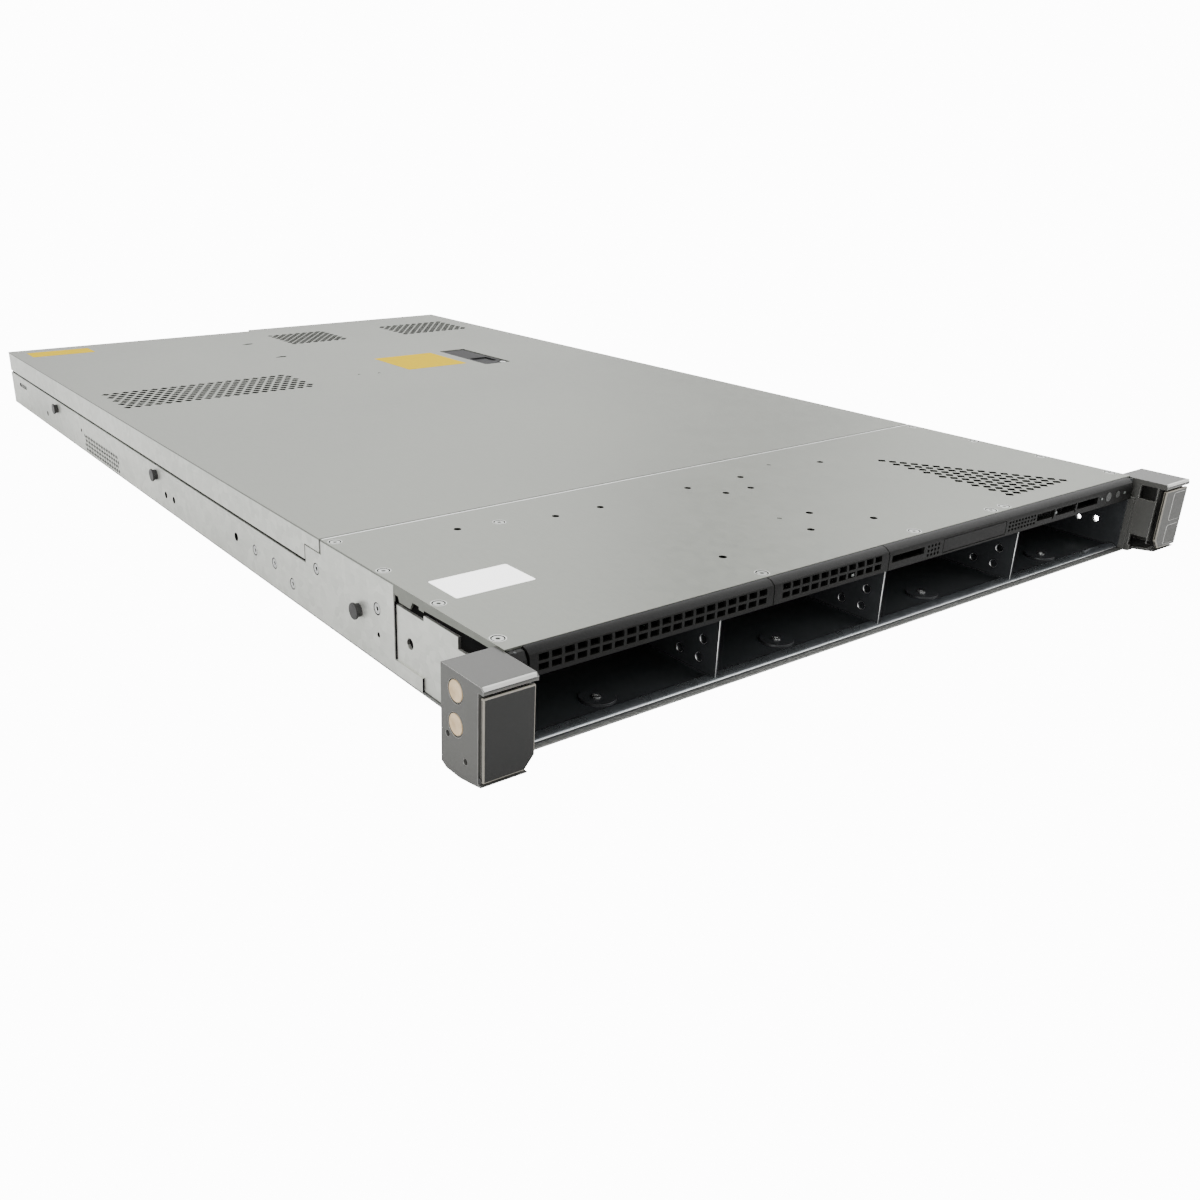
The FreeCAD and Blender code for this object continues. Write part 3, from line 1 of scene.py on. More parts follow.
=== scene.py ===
import bpy
import math
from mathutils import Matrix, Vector


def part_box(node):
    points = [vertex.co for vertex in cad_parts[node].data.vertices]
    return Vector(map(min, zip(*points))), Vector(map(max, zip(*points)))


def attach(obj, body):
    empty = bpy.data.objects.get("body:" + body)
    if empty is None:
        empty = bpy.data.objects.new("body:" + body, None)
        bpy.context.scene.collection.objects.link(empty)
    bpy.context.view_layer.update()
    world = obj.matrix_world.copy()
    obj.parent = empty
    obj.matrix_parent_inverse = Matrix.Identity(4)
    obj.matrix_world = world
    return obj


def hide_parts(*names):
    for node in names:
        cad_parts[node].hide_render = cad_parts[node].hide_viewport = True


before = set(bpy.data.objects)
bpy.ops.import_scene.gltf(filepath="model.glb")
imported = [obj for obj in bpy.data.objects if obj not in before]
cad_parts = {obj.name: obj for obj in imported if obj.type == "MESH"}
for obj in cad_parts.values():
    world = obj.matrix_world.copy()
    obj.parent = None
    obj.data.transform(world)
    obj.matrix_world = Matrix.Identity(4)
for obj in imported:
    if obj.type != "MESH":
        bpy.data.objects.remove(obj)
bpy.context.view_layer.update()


# --- Studio -----------------------------------------------------------------------------------
# A plain white floor and surround, large soft lamps and the camera, a little above the left front
# corner. Floor and surround are brighter where they are looked at, so that they stay pure white.

WHITE = (1.0, 1.0, 1.0, 1.0)
FLOOR_SIZE, FLOOR_DROP = 12.0, 0.0005
ROOM_STRENGTH, SEEN_STRENGTH = 1.15, 13.0

camera_data = bpy.data.cameras.new("camera")
camera = bpy.data.objects.new("camera", camera_data)
bpy.context.collection.objects.link(camera)
camera.location = (-0.43749, -0.68557, 0.21572)
camera.rotation_euler = [math.radians(turn) for turn in (67.2556, -0.4616, -34.4934)]
camera_data.lens = 34.088
camera_data.sensor_width = 36.0
camera_data.shift_x = 0.0895
camera_data.shift_y = 0.0140
camera_data.clip_start = 0.01
camera_data.clip_end = 60.0
bpy.context.scene.camera = camera


def white_where_seen(tree, kind, plain, output):
    """Puts a bright white in place of a plain shader for rays that come from the camera."""
    bright = tree.nodes.new(kind)
    bright.inputs["Color"].default_value = WHITE
    bright.inputs["Strength"].default_value = SEEN_STRENGTH
    choice = tree.nodes.new("ShaderNodeMixShader")
    path = tree.nodes.new("ShaderNodeLightPath")
    tree.links.new(path.outputs["Is Camera Ray"], choice.inputs[0])
    tree.links.new(plain.outputs[0], choice.inputs[1])
    tree.links.new(bright.outputs[0], choice.inputs[2])
    tree.links.new(choice.outputs[0], tree.nodes[output].inputs["Surface"])


bpy.ops.object.select_all(action="DESELECT")
bpy.ops.mesh.primitive_plane_add(size=FLOOR_SIZE, location=(0, 0, -FLOOR_DROP))
floor = bpy.context.object
floor.name = "studio_floor"
paint = bpy.data.materials.new("studio_white")
paint.use_nodes = True
matt = paint.node_tree.nodes["Principled BSDF"]
matt.inputs["Base Color"].default_value = (0.85, 0.85, 0.85, 1.0)
white_where_seen(paint.node_tree, "ShaderNodeEmission", matt, "Material Output")
floor.data.materials.append(paint)

world = bpy.data.worlds.new("studio")
bpy.context.scene.world = world
world.use_nodes = True
sky = world.node_tree.nodes["Background"]
sky.inputs["Color"].default_value = WHITE
sky.inputs["Strength"].default_value = ROOM_STRENGTH
white_where_seen(world.node_tree, "ShaderNodeBackground", sky, "World Output")


def softbox(name, place, aim, width, power):
    """A square area lamp that points at a place on the object."""
    data = bpy.data.lights.new(name, "AREA")
    data.energy = power
    data.size = width
    lamp = bpy.data.objects.new(name, data)
    bpy.context.collection.objects.link(lamp)
    lamp.location = place
    lamp.rotation_euler = (Vector(aim) - Vector(place)).to_track_quat("-Z", "Y").to_euler()


softbox("key_lamp", (-3.4, -1.2, 1.0), (0, 0, 0.02), 2.0, 72.0)
softbox("rear_lamp", (0.9, 2.0, 1.8), (0, 0.1, 0.04), 2.0, 34.0)
softbox("right_lamp", (1.9, 0.3, 1.5), (0.25, -0.2, 0.02), 1.6, 26.0)
softbox("front_lamp", (1.3, -1.6, 1.2), (0.1, -0.3, 0.02), 1.2, 24.0)


# --- Side walls -------------------------------------------------------------------------------
# Folded from hot-dip galvanised steel, a satin grey with a faint spangle, cloudy patches and fine
# rolling lines. Each wall steps in below the cover's skirt, over a strip that is welded behind it,
# and has pressed holes, a slot, a field of vents and flush screws.

class Value:
    """A number on a node's socket; its operators add Math nodes."""

    def __init__(self, finish, socket):
        self.finish = finish
        self.socket = socket

    def math(self, operation, *others, clamp=False):
        node = self.finish.node("ShaderNodeMath", {"operation": operation, "use_clamp": clamp},
                                dict(enumerate((self, *others))))
        return Value(self.finish, node.outputs[0])

    def __add__(self, other):
        return self.math("ADD", other)

    __radd__ = __add__

    def __sub__(self, other):
        return self.math("SUBTRACT", other)

    def __rsub__(self, other):
        return (self * -1.0) + other

    def __mul__(self, other):
        return self.math("MULTIPLY", other)

    __rmul__ = __mul__

    def __truediv__(self, other):
        return self.math("DIVIDE", other)

    def above(self, limit, soft):
        """0 below a limit, 1 above it, with a soft change."""
        return ((self - limit) / soft + 0.5).math("ADD", 0.0, clamp=True)


class Finish:
    """One procedural material, read in the object's own coordinates."""

    def __init__(self, name, roughness, metallic=0.0, gleam=0.5):
        self.material = bpy.data.materials.new(name)
        self.material.use_nodes = True
        self.tree = self.material.node_tree
        self.shader = self.tree.nodes["Principled BSDF"]
        self.shader.inputs["Roughness"].default_value = roughness
        self.shader.inputs["Metallic"].default_value = metallic
        self.shader.inputs["Specular IOR Level"].default_value = gleam
        self.place = self.node("ShaderNodeTexCoord").outputs["Object"]

    def node(self, kind, settings=None, values=None):
        node = self.tree.nodes.new(kind)
        for key, value in (settings or {}).items():
            setattr(node, key, value)
        for key, value in (values or {}).items():
            self.put(value, node.inputs[key])
        return node

    def put(self, value, socket):
        if isinstance(value, Value):
            self.tree.links.new(value.socket, socket)
        elif isinstance(value, bpy.types.NodeSocket):
            self.tree.links.new(value, socket)
        else:
            socket.default_value = value

    def stretched(self, scale):
        return self.node("ShaderNodeMapping", None,
                         {"Vector": self.place, "Scale": scale}).outputs["Vector"]

    def noise(self, scale, detail=3.0, stretch=(1, 1, 1)):
        node = self.node("ShaderNodeTexNoise", None, {
            "Vector": self.stretched(stretch), "Scale": scale, "Detail": detail})
        return Value(self, node.outputs[0])

    def cells(self, scale, stretch=(1, 1, 1)):
        """A random number for each crystal-like cell."""
        node = self.node("ShaderNodeTexVoronoi", None, {
            "Vector": self.stretched(stretch), "Scale": scale})
        split = self.node("ShaderNodeSeparateColor", None, {"Color": node.outputs["Color"]})
        return Value(self, split.outputs[0])

    def mix(self, mask, first, second):
        """Goes from the first colour to the second as the mask goes from 0 to 1."""
        node = self.node("ShaderNodeMix", {"data_type": "RGBA"}, {
            "Factor": mask, 6: (*first, 1.0), 7: (*second, 1.0)})
        return node.outputs[2]

    def colour(self, value):
        self.put(value, self.shader.inputs["Base Color"])

    def roughness(self, value):
        self.put(value, self.shader.inputs["Roughness"])

    def bump(self, height, depth):
        node = self.node("ShaderNodeBump", None, {
            "Height": height, "Distance": depth, "Strength": 1.0})
        self.put(node.outputs["Normal"], self.shader.inputs["Normal"])


CLOUD_SCALE, SPANGLE_SCALE, ROLLING_SCALE = 5.0, 210.0, 900.0
ROLLED = (1.0, 0.12, 1.0)
FINE_DETAIL = 2.0


def galvanised(name, dark, light, roughness=0.42, metallic=0.75, relief=0.00003):
    """Zinc-coated sheet between two greys."""
    finish = Finish(name, roughness, metallic)
    cloud = finish.noise(CLOUD_SCALE, 4.0).above(0.5, 0.35)
    spangle = finish.cells(SPANGLE_SCALE)
    grain = finish.noise(ROLLING_SCALE, FINE_DETAIL, ROLLED)
    tone = cloud * 0.45 + spangle * 0.30 + grain * 0.25
    finish.colour(finish.mix(tone, dark, light))
    finish.roughness(roughness - 0.06 + cloud * 0.07 + spangle * 0.05)
    finish.bump(grain + spangle * 0.3, relief)
    return finish.material


def two_tone(name, dark, light, patches, roughness, metallic=0.0, gleam=0.5, grain=None,
             relief=0.00004):
    """A plain finish that drifts between two tones, with a moulded or cast grain where given."""
    finish = Finish(name, roughness, metallic, gleam)
    finish.colour(finish.mix(finish.noise(patches), dark, light))
    if grain is not None:
        finish.bump(finish.noise(grain, FINE_DETAIL), relief)
    return finish.material


# Places are in millimetres: X from the middle, Y back from the top plate's front edge and Z up
# from the underside.
MM, METRE = 0.001, 1000
SIDES = (-1, 1)
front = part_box("front_top_plate")[0].y
half_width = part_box("access_cover")[1].x * METRE
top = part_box("access_cover")[1].z * METRE
rear_left = (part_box("psu_1_case")[1].y - front) * METRE
rear_right = (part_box("access_cover")[1].y - front) * METRE
seam = (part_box("front_top_plate")[1].y - front) * METRE


def at(x, y, z):
    return Vector((x * MM, front + y * MM, z * MM))


def active(piece):
    bpy.ops.object.select_all(action="DESELECT")
    piece.select_set(True)
    bpy.context.view_layer.objects.active = piece


def settled(piece):
    """Puts a piece's place, turn and size into its mesh."""
    active(piece)
    bpy.ops.object.transform_apply(location=True, rotation=True, scale=True)
    return piece


def block(name, low, high):
    """A block between two corners, ready to be cut and bevelled."""
    bpy.ops.object.select_all(action="DESELECT")
    low, high = at(*low), at(*high)
    bpy.ops.mesh.primitive_cube_add(size=1.0, location=(low + high) / 2)
    piece = bpy.context.object
    piece.name = name
    piece.scale = [abs(reach) for reach in high - low]
    return settled(piece)


def peg(name, place, radius, length, axis, sides):
    """A round or many-sided pin, centred at a place along one axis."""
    bpy.ops.object.select_all(action="DESELECT")
    turn = {"X": (0, math.pi / 2, 0), "Y": (-math.pi / 2, 0, 0), "Z": (0, 0, 0)}[axis]
    bpy.ops.mesh.primitive_cone_add(
        vertices=sides, radius1=radius * MM, radius2=radius * MM, depth=length * MM,
        rotation=turn, location=at(*place))
    piece = bpy.context.object
    piece.name = name
    return settled(piece)


def prism(name, plane, outline, low, high):
    """An outline in one plane, carried along the third axis."""
    def spot(u, v, w):
        return at(*{"YZ": (w, u, v), "XY": (u, v, w), "XZ": (u, w, v)}[plane])
    bpy.ops.object.select_all(action="DESELECT")
    bpy.ops.mesh.primitive_circle_add(vertices=len(outline), fill_type="NGON")
    piece = bpy.context.object
    piece.name = name
    for corner, (u, v) in zip(piece.data.vertices, outline):
        corner.co = spot(u, v, low)
    reach = spot(0, 0, high) - spot(0, 0, low)
    bpy.ops.object.mode_set(mode="EDIT")
    bpy.ops.mesh.select_all(action="SELECT")
    bpy.ops.mesh.extrude_region_move(TRANSFORM_OT_translate={"value": reach})
    bpy.ops.mesh.select_all(action="SELECT")
    bpy.ops.mesh.normals_make_consistent(inside=False)
    bpy.ops.object.mode_set(mode="OBJECT")
    return piece


def oblong(left, low, right, high, radius):
    """Outline of a rectangle with round corners."""
    steps = 4
    centres = ((right - radius, high - radius), (left + radius, high - radius),
               (left + radius, low + radius), (right - radius, low + radius))
    points = []
    for quarter, (u, v) in enumerate(centres):
        for step in range(steps + 1):
            turn = math.pi / 2 * (quarter + step / steps)
            points.append((u + radius * math.cos(turn), v + radius * math.sin(turn)))
    return points


def joined(pieces):
    active(pieces[0])
    for piece in pieces:
        piece.select_set(True)
    if len(pieces) > 1:
        bpy.ops.object.join()
    return bpy.context.object


def shaped(piece, cutters, operation="DIFFERENCE"):
    """Cuts a group of tools out of a piece, or joins them to it."""
    tool = joined(cutters)
    active(piece)
    change = piece.modifiers.new("shape", "BOOLEAN")
    change.operation = operation
    change.object = tool
    change.solver = "EXACT"
    bpy.ops.object.modifier_apply(modifier=change.name)
    bpy.data.objects.remove(tool)
    return piece


SHARP_DEGREES, SMOOTH_DEGREES = 30.0, 40.0


def eased(piece, width, segments, edge_material=None):
    """Breaks the sharp edges and smooths the rounded ones."""
    active(piece)
    ease = piece.modifiers.new("edges", "BEVEL")
    ease.width = width * MM
    ease.segments = segments
    ease.limit_method = "ANGLE"
    ease.angle_limit = math.radians(SHARP_DEGREES)
    ease.use_clamp_overlap = True
    if edge_material is not None:
        piece.data.materials.clear()
        piece.data.materials.append(None)
        piece.data.materials.append(edge_material)
        ease.material = 1
    bpy.ops.object.modifier_apply(modifier=ease.name)
    bpy.ops.object.shade_smooth_by_angle(angle=math.radians(SMOOTH_DEGREES))
    level = piece.modifiers.new("level", "WEIGHTED_NORMAL")
    level.keep_sharp = True
    level.weight = 100
    bpy.ops.object.modifier_apply(modifier=level.name)
    return piece


def dressed(piece, material, body, slot, *nodes):
    """Gives a finished piece its material, the body it moves with and the nodes it stands for."""
    if len(piece.data.materials):
        piece.data.materials[0] = material
    else:
        piece.data.materials.append(material)
    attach(piece, body)
    if nodes:
        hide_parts(*nodes)


VENT_SIDES, WALL_CUT = 4, 8.0


def vents(field, columns, rows, reach, level, keep=None, axis="Z"):
    """Cutters for diamond holes in offset rows over a field of a sheet."""
    left, near, right, far = field
    across, along = (right - left) / columns, (far - near) / rows
    tools = []
    for row in range(rows):
        for column in range(columns):
            u = left + (column + 0.25 + 0.5 * (row % 2)) * across
            v = near + (row + 0.5) * along
            if keep is None or keep(u, v):
                place = (u, v, level) if axis == "Z" else (level, u, v)
                tools.append(peg("vent", place, reach, WALL_CUT, axis, VENT_SIDES))
    return tools


# Painted shade: a near-black for hole walls, gaps and openings that light hardly reaches.
painted_shade = two_tone("painted_shade", (0.004, 0.004, 0.004), (0.009, 0.009, 0.009), 100.0, 0.8, gleam=0.0)


def backed(piece, material, chosen):
    """Leaves the first material open and gives the chosen faces a second one."""
    piece.data.materials.append(None)
    piece.data.materials.append(material)
    for face in piece.data.polygons:
        if chosen(face):
            face.material_index = 1
    return piece


def with_painted_hole_shade(piece, axis):
    """Paints shade on the walls of a sheet's small holes, which little light reaches."""
    largest_wall = 8e-6
    return backed(piece, painted_shade,
                  lambda face: abs(face.normal[axis]) < 0.1 and face.area < largest_wall)


HEAD_SIDES, SOCKET_SIDES, HOLE_SIDES = 28, 6, 20


def screws(name, places, axis, radius, material, slot, outward, *nodes):
    """Flush heads with a six-sided recess, a rounded edge and painted shade in the gaps around and
    within.
    """
    shift = {"X": (1, 0, 0), "Y": (0, 1, 0), "Z": (0, 0, 1)}[axis]

    def row(label, depth, reach, length, sides):
        return [peg(label, [value - outward * depth * step for value, step in zip(place, shift)],
                    reach, length, axis, sides) for place in places]
    heads = joined(row(name, 0.5, radius, 0.9, HEAD_SIDES))
    heads = eased(shaped(heads, row(name, 0.1, radius * 0.46, 1.2, SOCKET_SIDES)), 0.18, 2)
    # Painted shade: dark discs behind each head and in its recess.
    shadows = row("shadow", 1.15, radius * 1.2, 0.2, HEAD_SIDES)
    shadows += row("shadow", 0.6, radius * 0.44, 0.3, SOCKET_SIDES)
    dressed(joined(shadows), painted_shade, "chassis", slot)
    dressed(heads, material, "chassis", slot, *nodes)


def rims(places, axis, radius, thickness, bore, material):
    """Flat pressed rims around the screw heads, painted paler than their sheet as a highlight."""
    rings = joined([peg("rim", place, radius, thickness, axis, HEAD_SIDES) for place in places])
    bores = [peg("hole", place, bore, WALL_CUT, axis, HEAD_SIDES) for place in places]
    dressed(shaped(rings, bores), material, "chassis", "steel")


side_steel = galvanised("side_steel", (0.52, 0.535, 0.495), (0.84, 0.85, 0.80))
screw_steel = galvanised("screw_steel", (0.55, 0.56, 0.55), (0.75, 0.76, 0.75), 0.28, 0.95)
# Painted highlight: a paler copy of the zinc for screw rims and bright edges.
pale_highlight = galvanised("pale_highlight", (0.70, 0.71, 0.70), (0.85, 0.86, 0.85), 0.35, 0.9)

SHEET, SKIN = 1.0, 0.02
LUG_FRONT, LUG_TOP, WALL_FRONT, FOOT = 59, 7.5, 82, 0.15
low_top, step_top = top - 17.0, top - 8.0
strip_front, strip_foot = seam + 3, low_top - 4
SIDE_SCREWS = ((96.8, 26.2), (156.1, 26.4), (184.3, 9.7), (205.3, 14.3), (229.8, 14.2))
# Place back, height and radius of the bare holes.
SIDE_HOLES = ((255, 14.5, 2.4), (352.7, 10.4, 2.1), (366.6, 10.3, 2.1), (545, 15.5, 1.4),
              (640, 10.0, 1.9), (96.0, 14.0, 1.2))
SIDE_SLOT = oblong(701, 17.9, 724, 21.1, 1.5)
SIDE_VENTS = (460, 1.6, 538, 14.4)

for side in SIDES:
    back = rear_left if side < 0 else rear_right
    outer = side * half_width
    wall = prism("wall", "YZ", [
        (LUG_FRONT, FOOT), (back, FOOT), (back, low_top), (seam + 17, low_top),
        (seam + 17, step_top), (seam, step_top), (seam, top - 1.2), (WALL_FRONT, top - 1.2),
        (WALL_FRONT, LUG_TOP), (LUG_FRONT, LUG_TOP)], outer - side * SHEET, outer - side * SKIN)
    strip = block("strip", (outer - side * 2.3, strip_front, strip_foot),
                  (outer - side * 1.25, back, top - 1.4))
    lap = block("lap", (outer - side * 2.0, strip_front, strip_foot),
                (outer - side * 0.9, back, low_top - 0.8))
    wall = shaped(wall, [strip], "UNION")
    wall = shaped(wall, [lap], "UNION")
    holes = [peg("hole", (outer, y, z), 3.0, WALL_CUT, "X", HEAD_SIDES) for y, z in SIDE_SCREWS]
    holes += [peg("hole", (outer, y, z), reach, WALL_CUT, "X", HOLE_SIDES)
              for y, z, reach in SIDE_HOLES]
    holes.append(prism("slot", "YZ", SIDE_SLOT, outer - 6, outer + 6))
    wall = shaped(wall, holes)
    wall = shaped(wall, vents(SIDE_VENTS, 20, 4, 1.65, outer, axis="X"))
    # Painted shade on the walls of the vents and small holes.
    wall = with_painted_hole_shade(eased(wall, 0.12, 1), 0)
    name = "left_wall" if side < 0 else "right_wall"
    wall.name = name
    dressed(wall, side_steel, "chassis", "zinc", "side_walls")
    screws(name + "_screws", [(outer, y, z) for y, z in SIDE_SCREWS], "X", 2.5, screw_steel,
           "steel", side, "side_screws")
    # Bands of painted shade in the gaps below, before and behind the skirt, and at the wall's front
    # edge.
    gaps = (((1.24, seam + 18.3, low_top - 0.1), (1.0, back - 1, low_top + 1.6)),
            ((1.2, seam - 0.1, top - 7.6), (1.0, seam + 2.0, top - 1.4)),
            ((1.2, seam + 16.8, top - 16), (1.0, seam + 18.4, top - 7.4)),
            ((0.95, WALL_FRONT - 0.8, 7.7), (0.5, WALL_FRONT - 0.05, 34.5)))
    shade_bands = [block("shade_band", (outer - side * deep, near, low), (outer - side * shallow, far, high))
             for (deep, near, low), (shallow, far, high) in gaps]
    dressed(joined(shade_bands), painted_shade, "chassis", "zinc")
    # Painted highlight on the pressed rims around the screws.
    rims([(outer - side * 0.25, y, z) for y, z in SIDE_SCREWS], "X", 3.8, 0.45, 3.15, pale_highlight)


# --- Floor and rear wall ----------------------------------------------------------------------
# The tray's folded floor, and the stepped rear wall with its openings for ports and supplies. Both
# keep the frame's shape, with their edges broken.

def taken_from(node, name):
    """A merged copy of a CAD node, with its flat faces made whole again."""
    piece = bpy.data.objects.new(name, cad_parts[node].data.copy())
    bpy.context.collection.objects.link(piece)
    piece.data.materials.clear()
    active(piece)
    bpy.ops.object.mode_set(mode="EDIT")
    bpy.ops.mesh.select_all(action="SELECT")
    bpy.ops.mesh.remove_doubles(threshold=1e-6)
    bpy.ops.mesh.dissolve_limited(angle_limit=math.radians(0.5))
    bpy.ops.object.mode_set(mode="OBJECT")
    return piece


def restored(node, name, width, segments, material, body, slot):
    """A CAD node in its own shape, with broken edges and a finish."""
    dressed(eased(taken_from(node, name), width, segments), material, body, slot, node)


# Painted shade: the floor pan, seen through the vents, gets a darker copy of the zinc.
shaded_pan_steel = galvanised("shaded_pan_steel", (0.20, 0.205, 0.195), (0.30, 0.305, 0.29))
restored("base_pan", "case_floor", 0.12, 1, shaded_pan_steel, "chassis", "zinc")
restored("rear_panel", "rear_wall", 0.12, 1, side_steel, "chassis", "zinc")


# --- Rail studs -------------------------------------------------------------------------------
# Three turned steel studs on each side, blackened, with a thinner neck below the head. The rack's
# rails hook on to them.

STUD_PLACES, STUD_HEIGHT = (113.7, 381.8, 607.5), 19.9

black_steel = Finish("black_steel", 0.32, 0.6)
black_steel.colour(black_steel.mix(black_steel.noise(90.0), (0.02, 0.02, 0.02), (0.05, 0.05, 0.05)))
black_steel.roughness(0.26 + black_steel.noise(40.0) * 0.14)
for side in SIDES:
    outer = side * half_width
    studs = []
    for y in STUD_PLACES:
        studs += [peg("stud", (outer + side * 1.1, y, STUD_HEIGHT), 3.3, 2.2, "X", 24),
                  peg("stud", (outer + side * 2.75, y, STUD_HEIGHT), 4.0, 1.1, "X", 32)]
    dressed(eased(joined(studs), 0.3, 2), black_steel.material, "chassis", "black_steel",
            "rail_studs")


# --- Fixed top plate --------------------------------------------------------------------------
# The sheet over the drive bays. It stays when the cover comes off, so it is screwed to the cage
# along both sides; fans draw through the wedge of vents at its right.

# Painted shade: the top sheets get a far darker copy of the walls' galvanised zinc.
shaded_case_steel = galvanised("shaded_case_steel", (0.164, 0.172, 0.150), (0.238, 0.246, 0.219))
SHEET_TOP = top - 0.12
EDGE_SCREWS = [(side * 213.3, y) for side in SIDES for y in (10.0, 52.1, 97.2, 142.9)]
FRONT_SCREWS = [(-77.1, 4.6), (28.2, 4.6), (90.7, 4.6), (102.3, 4.6), (-132.3, 125.6)]
PLATE_SCREWS = EDGE_SCREWS + FRONT_SCREWS
SMALL_HOLES = ((-155.4, 127.6), (-103.2, 118.2), (-74.8, 117.7), (-12.8, 118.9), (27.4, 118.8),
               (-2.0, 100.8), (16.4, 100.5), (90.8, 116.3), (8.1, 52.3), (-12.3, 33.6),
               (28.6, 28.8), (-76.6, 28.8))
DIMPLES = ((-12.0, 54.0), (60.0, 128.0))
PLATE_CUT = 6
PLATE_VENTS = (122.5, 13.0, 180.0, 101.0)
# Outline of the side flanges, from the front: a small tongue and a step down at the back.
FLANGE = [(0, top - 0.6), (0, 40.1), (21, 40.0), (57, 38.9), (57, 38.0), (61, 38.0), (61, 39.4),
          (66, 39.4), (68, 35.9), (76.9, 35.9), (78, 38.2), (81.7, 38.2), (81.7, top - 0.6)]


def in_wedge(x, y):
    """The vents' outer edge runs inwards from front to back."""
    corner_x, corner_y, slope = 177.0, 14.0, 51.0 / 86.0
    return x < corner_x - (y - corner_y) * slope


plate = block("top_plate", (-half_width, 0, top - 1.1), (half_width, seam - 0.5, SHEET_TOP))
for side in SIDES:
    outer = side * half_width
    plate = shaped(plate, [prism("flange", "YZ", FLANGE, outer - side * SHEET, outer)], "UNION")
cutters = [peg("hole", (x, y, top), 2.9, PLATE_CUT, "Z", HEAD_SIDES) for x, y in PLATE_SCREWS]
cutters += [peg("hole", (x, y, top), 1.9, PLATE_CUT, "Z", HOLE_SIDES) for x, y in SMALL_HOLES]
cutters += [peg("dimple", (x, y, SHEET_TOP), 1.6, 0.5, "Z", 4) for x, y in DIMPLES]
plate = shaped(plate, cutters)
plate = shaped(plate, vents(PLATE_VENTS, 9, 17, 2.8, top, in_wedge))
# Painted shade on the walls of the vents and small holes.
plate = with_painted_hole_shade(eased(plate, 0.22, 2), 2)
dressed(plate, shaded_case_steel, "chassis", "zinc", "front_top_plate")
flat_screw = galvanised("flat_screw", (0.34, 0.35, 0.33), (0.44, 0.45, 0.43), 0.34, 0.85)
# Painted highlight on the top's pressed screw rims, brighter than the plate.
top_rim_highlight = galvanised("top_rim_highlight", (0.42, 0.43, 0.41), (0.52, 0.53, 0.51), 0.38, 0.85)
screws("plate_screws", [(x, y, SHEET_TOP) for x, y in PLATE_SCREWS], "Z", 2.4, flat_screw,
       "steel", 1, "top_screws")
rims([(x, y, SHEET_TOP - 0.15) for x, y in PLATE_SCREWS], "Z", 3.5, 0.4, 3.0, top_rim_highlight)


# --- Cover ------------------------------------------------------------------------------------
# The lift-off lid with stepped skirts, three fields of vents and an opening for the latch. Its
# rear edge follows the step of the rear wall, and small lances of painted shade mark where it hooks
# in. A pale strip at the seam paints a highlight, a bright line along the plate's folded edge.

# The rear wall steps back at this share of the way from its left end to the right side.
STEP_SHARE = 0.178
COVER_VENTS = (((-203.5, 473.5, -58, 530), 20, 9, 3.25), ((9, 657.5, 66, 714), 8, 13, 3.1),
               ((124, 653.5, 197, 709), 10, 12, 3.1))
LATCH_MOUTH = oblong(101.6, 481.5, 127.0, 555.5, 2.5)
skirt_front, skirt_step = seam + 1.8, seam + 18.2
skirt_low, skirt_high = top - 15.5, top - 7.4

rear_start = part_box("rear_panel")[0].x
step_side = (rear_start + STEP_SHARE * (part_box("access_cover")[1].x - rear_start)) * METRE
cover = prism("cover_lid", "XY", [
    (-half_width, seam + 0.6), (half_width, seam + 0.6), (half_width, rear_right),
    (step_side, rear_right), (step_side, rear_left), (-half_width, rear_left)],
    top - 1.1, SHEET_TOP)
for side in SIDES:
    outer = side * half_width
    back = rear_left if side < 0 else rear_right
    skirt = prism("left_skirt" if side < 0 else "right_skirt", "YZ", [
        (skirt_front, skirt_high), (skirt_step, skirt_high), (skirt_step, skirt_low),
        (back, skirt_low), (back, top - 0.9), (skirt_front, top - 0.9)],
        outer - side * 0.95, outer - side * SKIN)
    dressed(eased(skirt, 0.2, 2), side_steel, "cover", "zinc", "cover_skirts")
cover = shaped(cover, [prism("mouth", "XY", LATCH_MOUTH, top - 4, top + 4)])
fields = []
for field, columns, rows, reach in COVER_VENTS:
    fields += vents(field, columns, rows, reach, top)
# Painted shade on the walls of the vents and small holes.
cover = with_painted_hole_shade(eased(shaped(cover, fields), 0.15, 2), 2)
dressed(cover, shaded_case_steel, "cover", "zinc", "access_cover")

# Painted highlight: a pale strip along the plate's folded edge at the seam.
seam_highlight = block("seam_edge", (-half_width + 0.3, seam - 1.5, SHEET_TOP - 0.5),
                    (half_width - 0.3, seam - 0.45, SHEET_TOP + 0.05))
dressed(eased(seam_highlight, 0.15, 1), pale_highlight, "chassis", "zinc")
# Painted shade: dark prisms in the lances' openings, and two small dark triangles.
LANCE = ((-6, -1.2), (3, -1.8), (6, 1.0), (1, 2.6), (-2, 1.0))
marks = [prism("lance", "XY", [(x + u, y + v) for u, v in LANCE],
               SHEET_TOP - 0.1, SHEET_TOP + 0.03) for x, y in ((-26.4, 678.9), (-28.1, 603.5))]
marks += [peg("mark", (x, y, SHEET_TOP - 0.02), 1.6, 0.1, "Z", 3)
          for x, y in ((-9, 498.7), (7.4, 495.5))]
dressed(joined(marks), painted_shade, "cover", "steel")


# --- Plain stickers ---------------------------------------------------------------------------
# Bare paper: one white sticker on the fixed plate and yellow ones on the cover, none with words.
# A little glow, painted light, keeps the paper brighter than the lamps alone would light it.

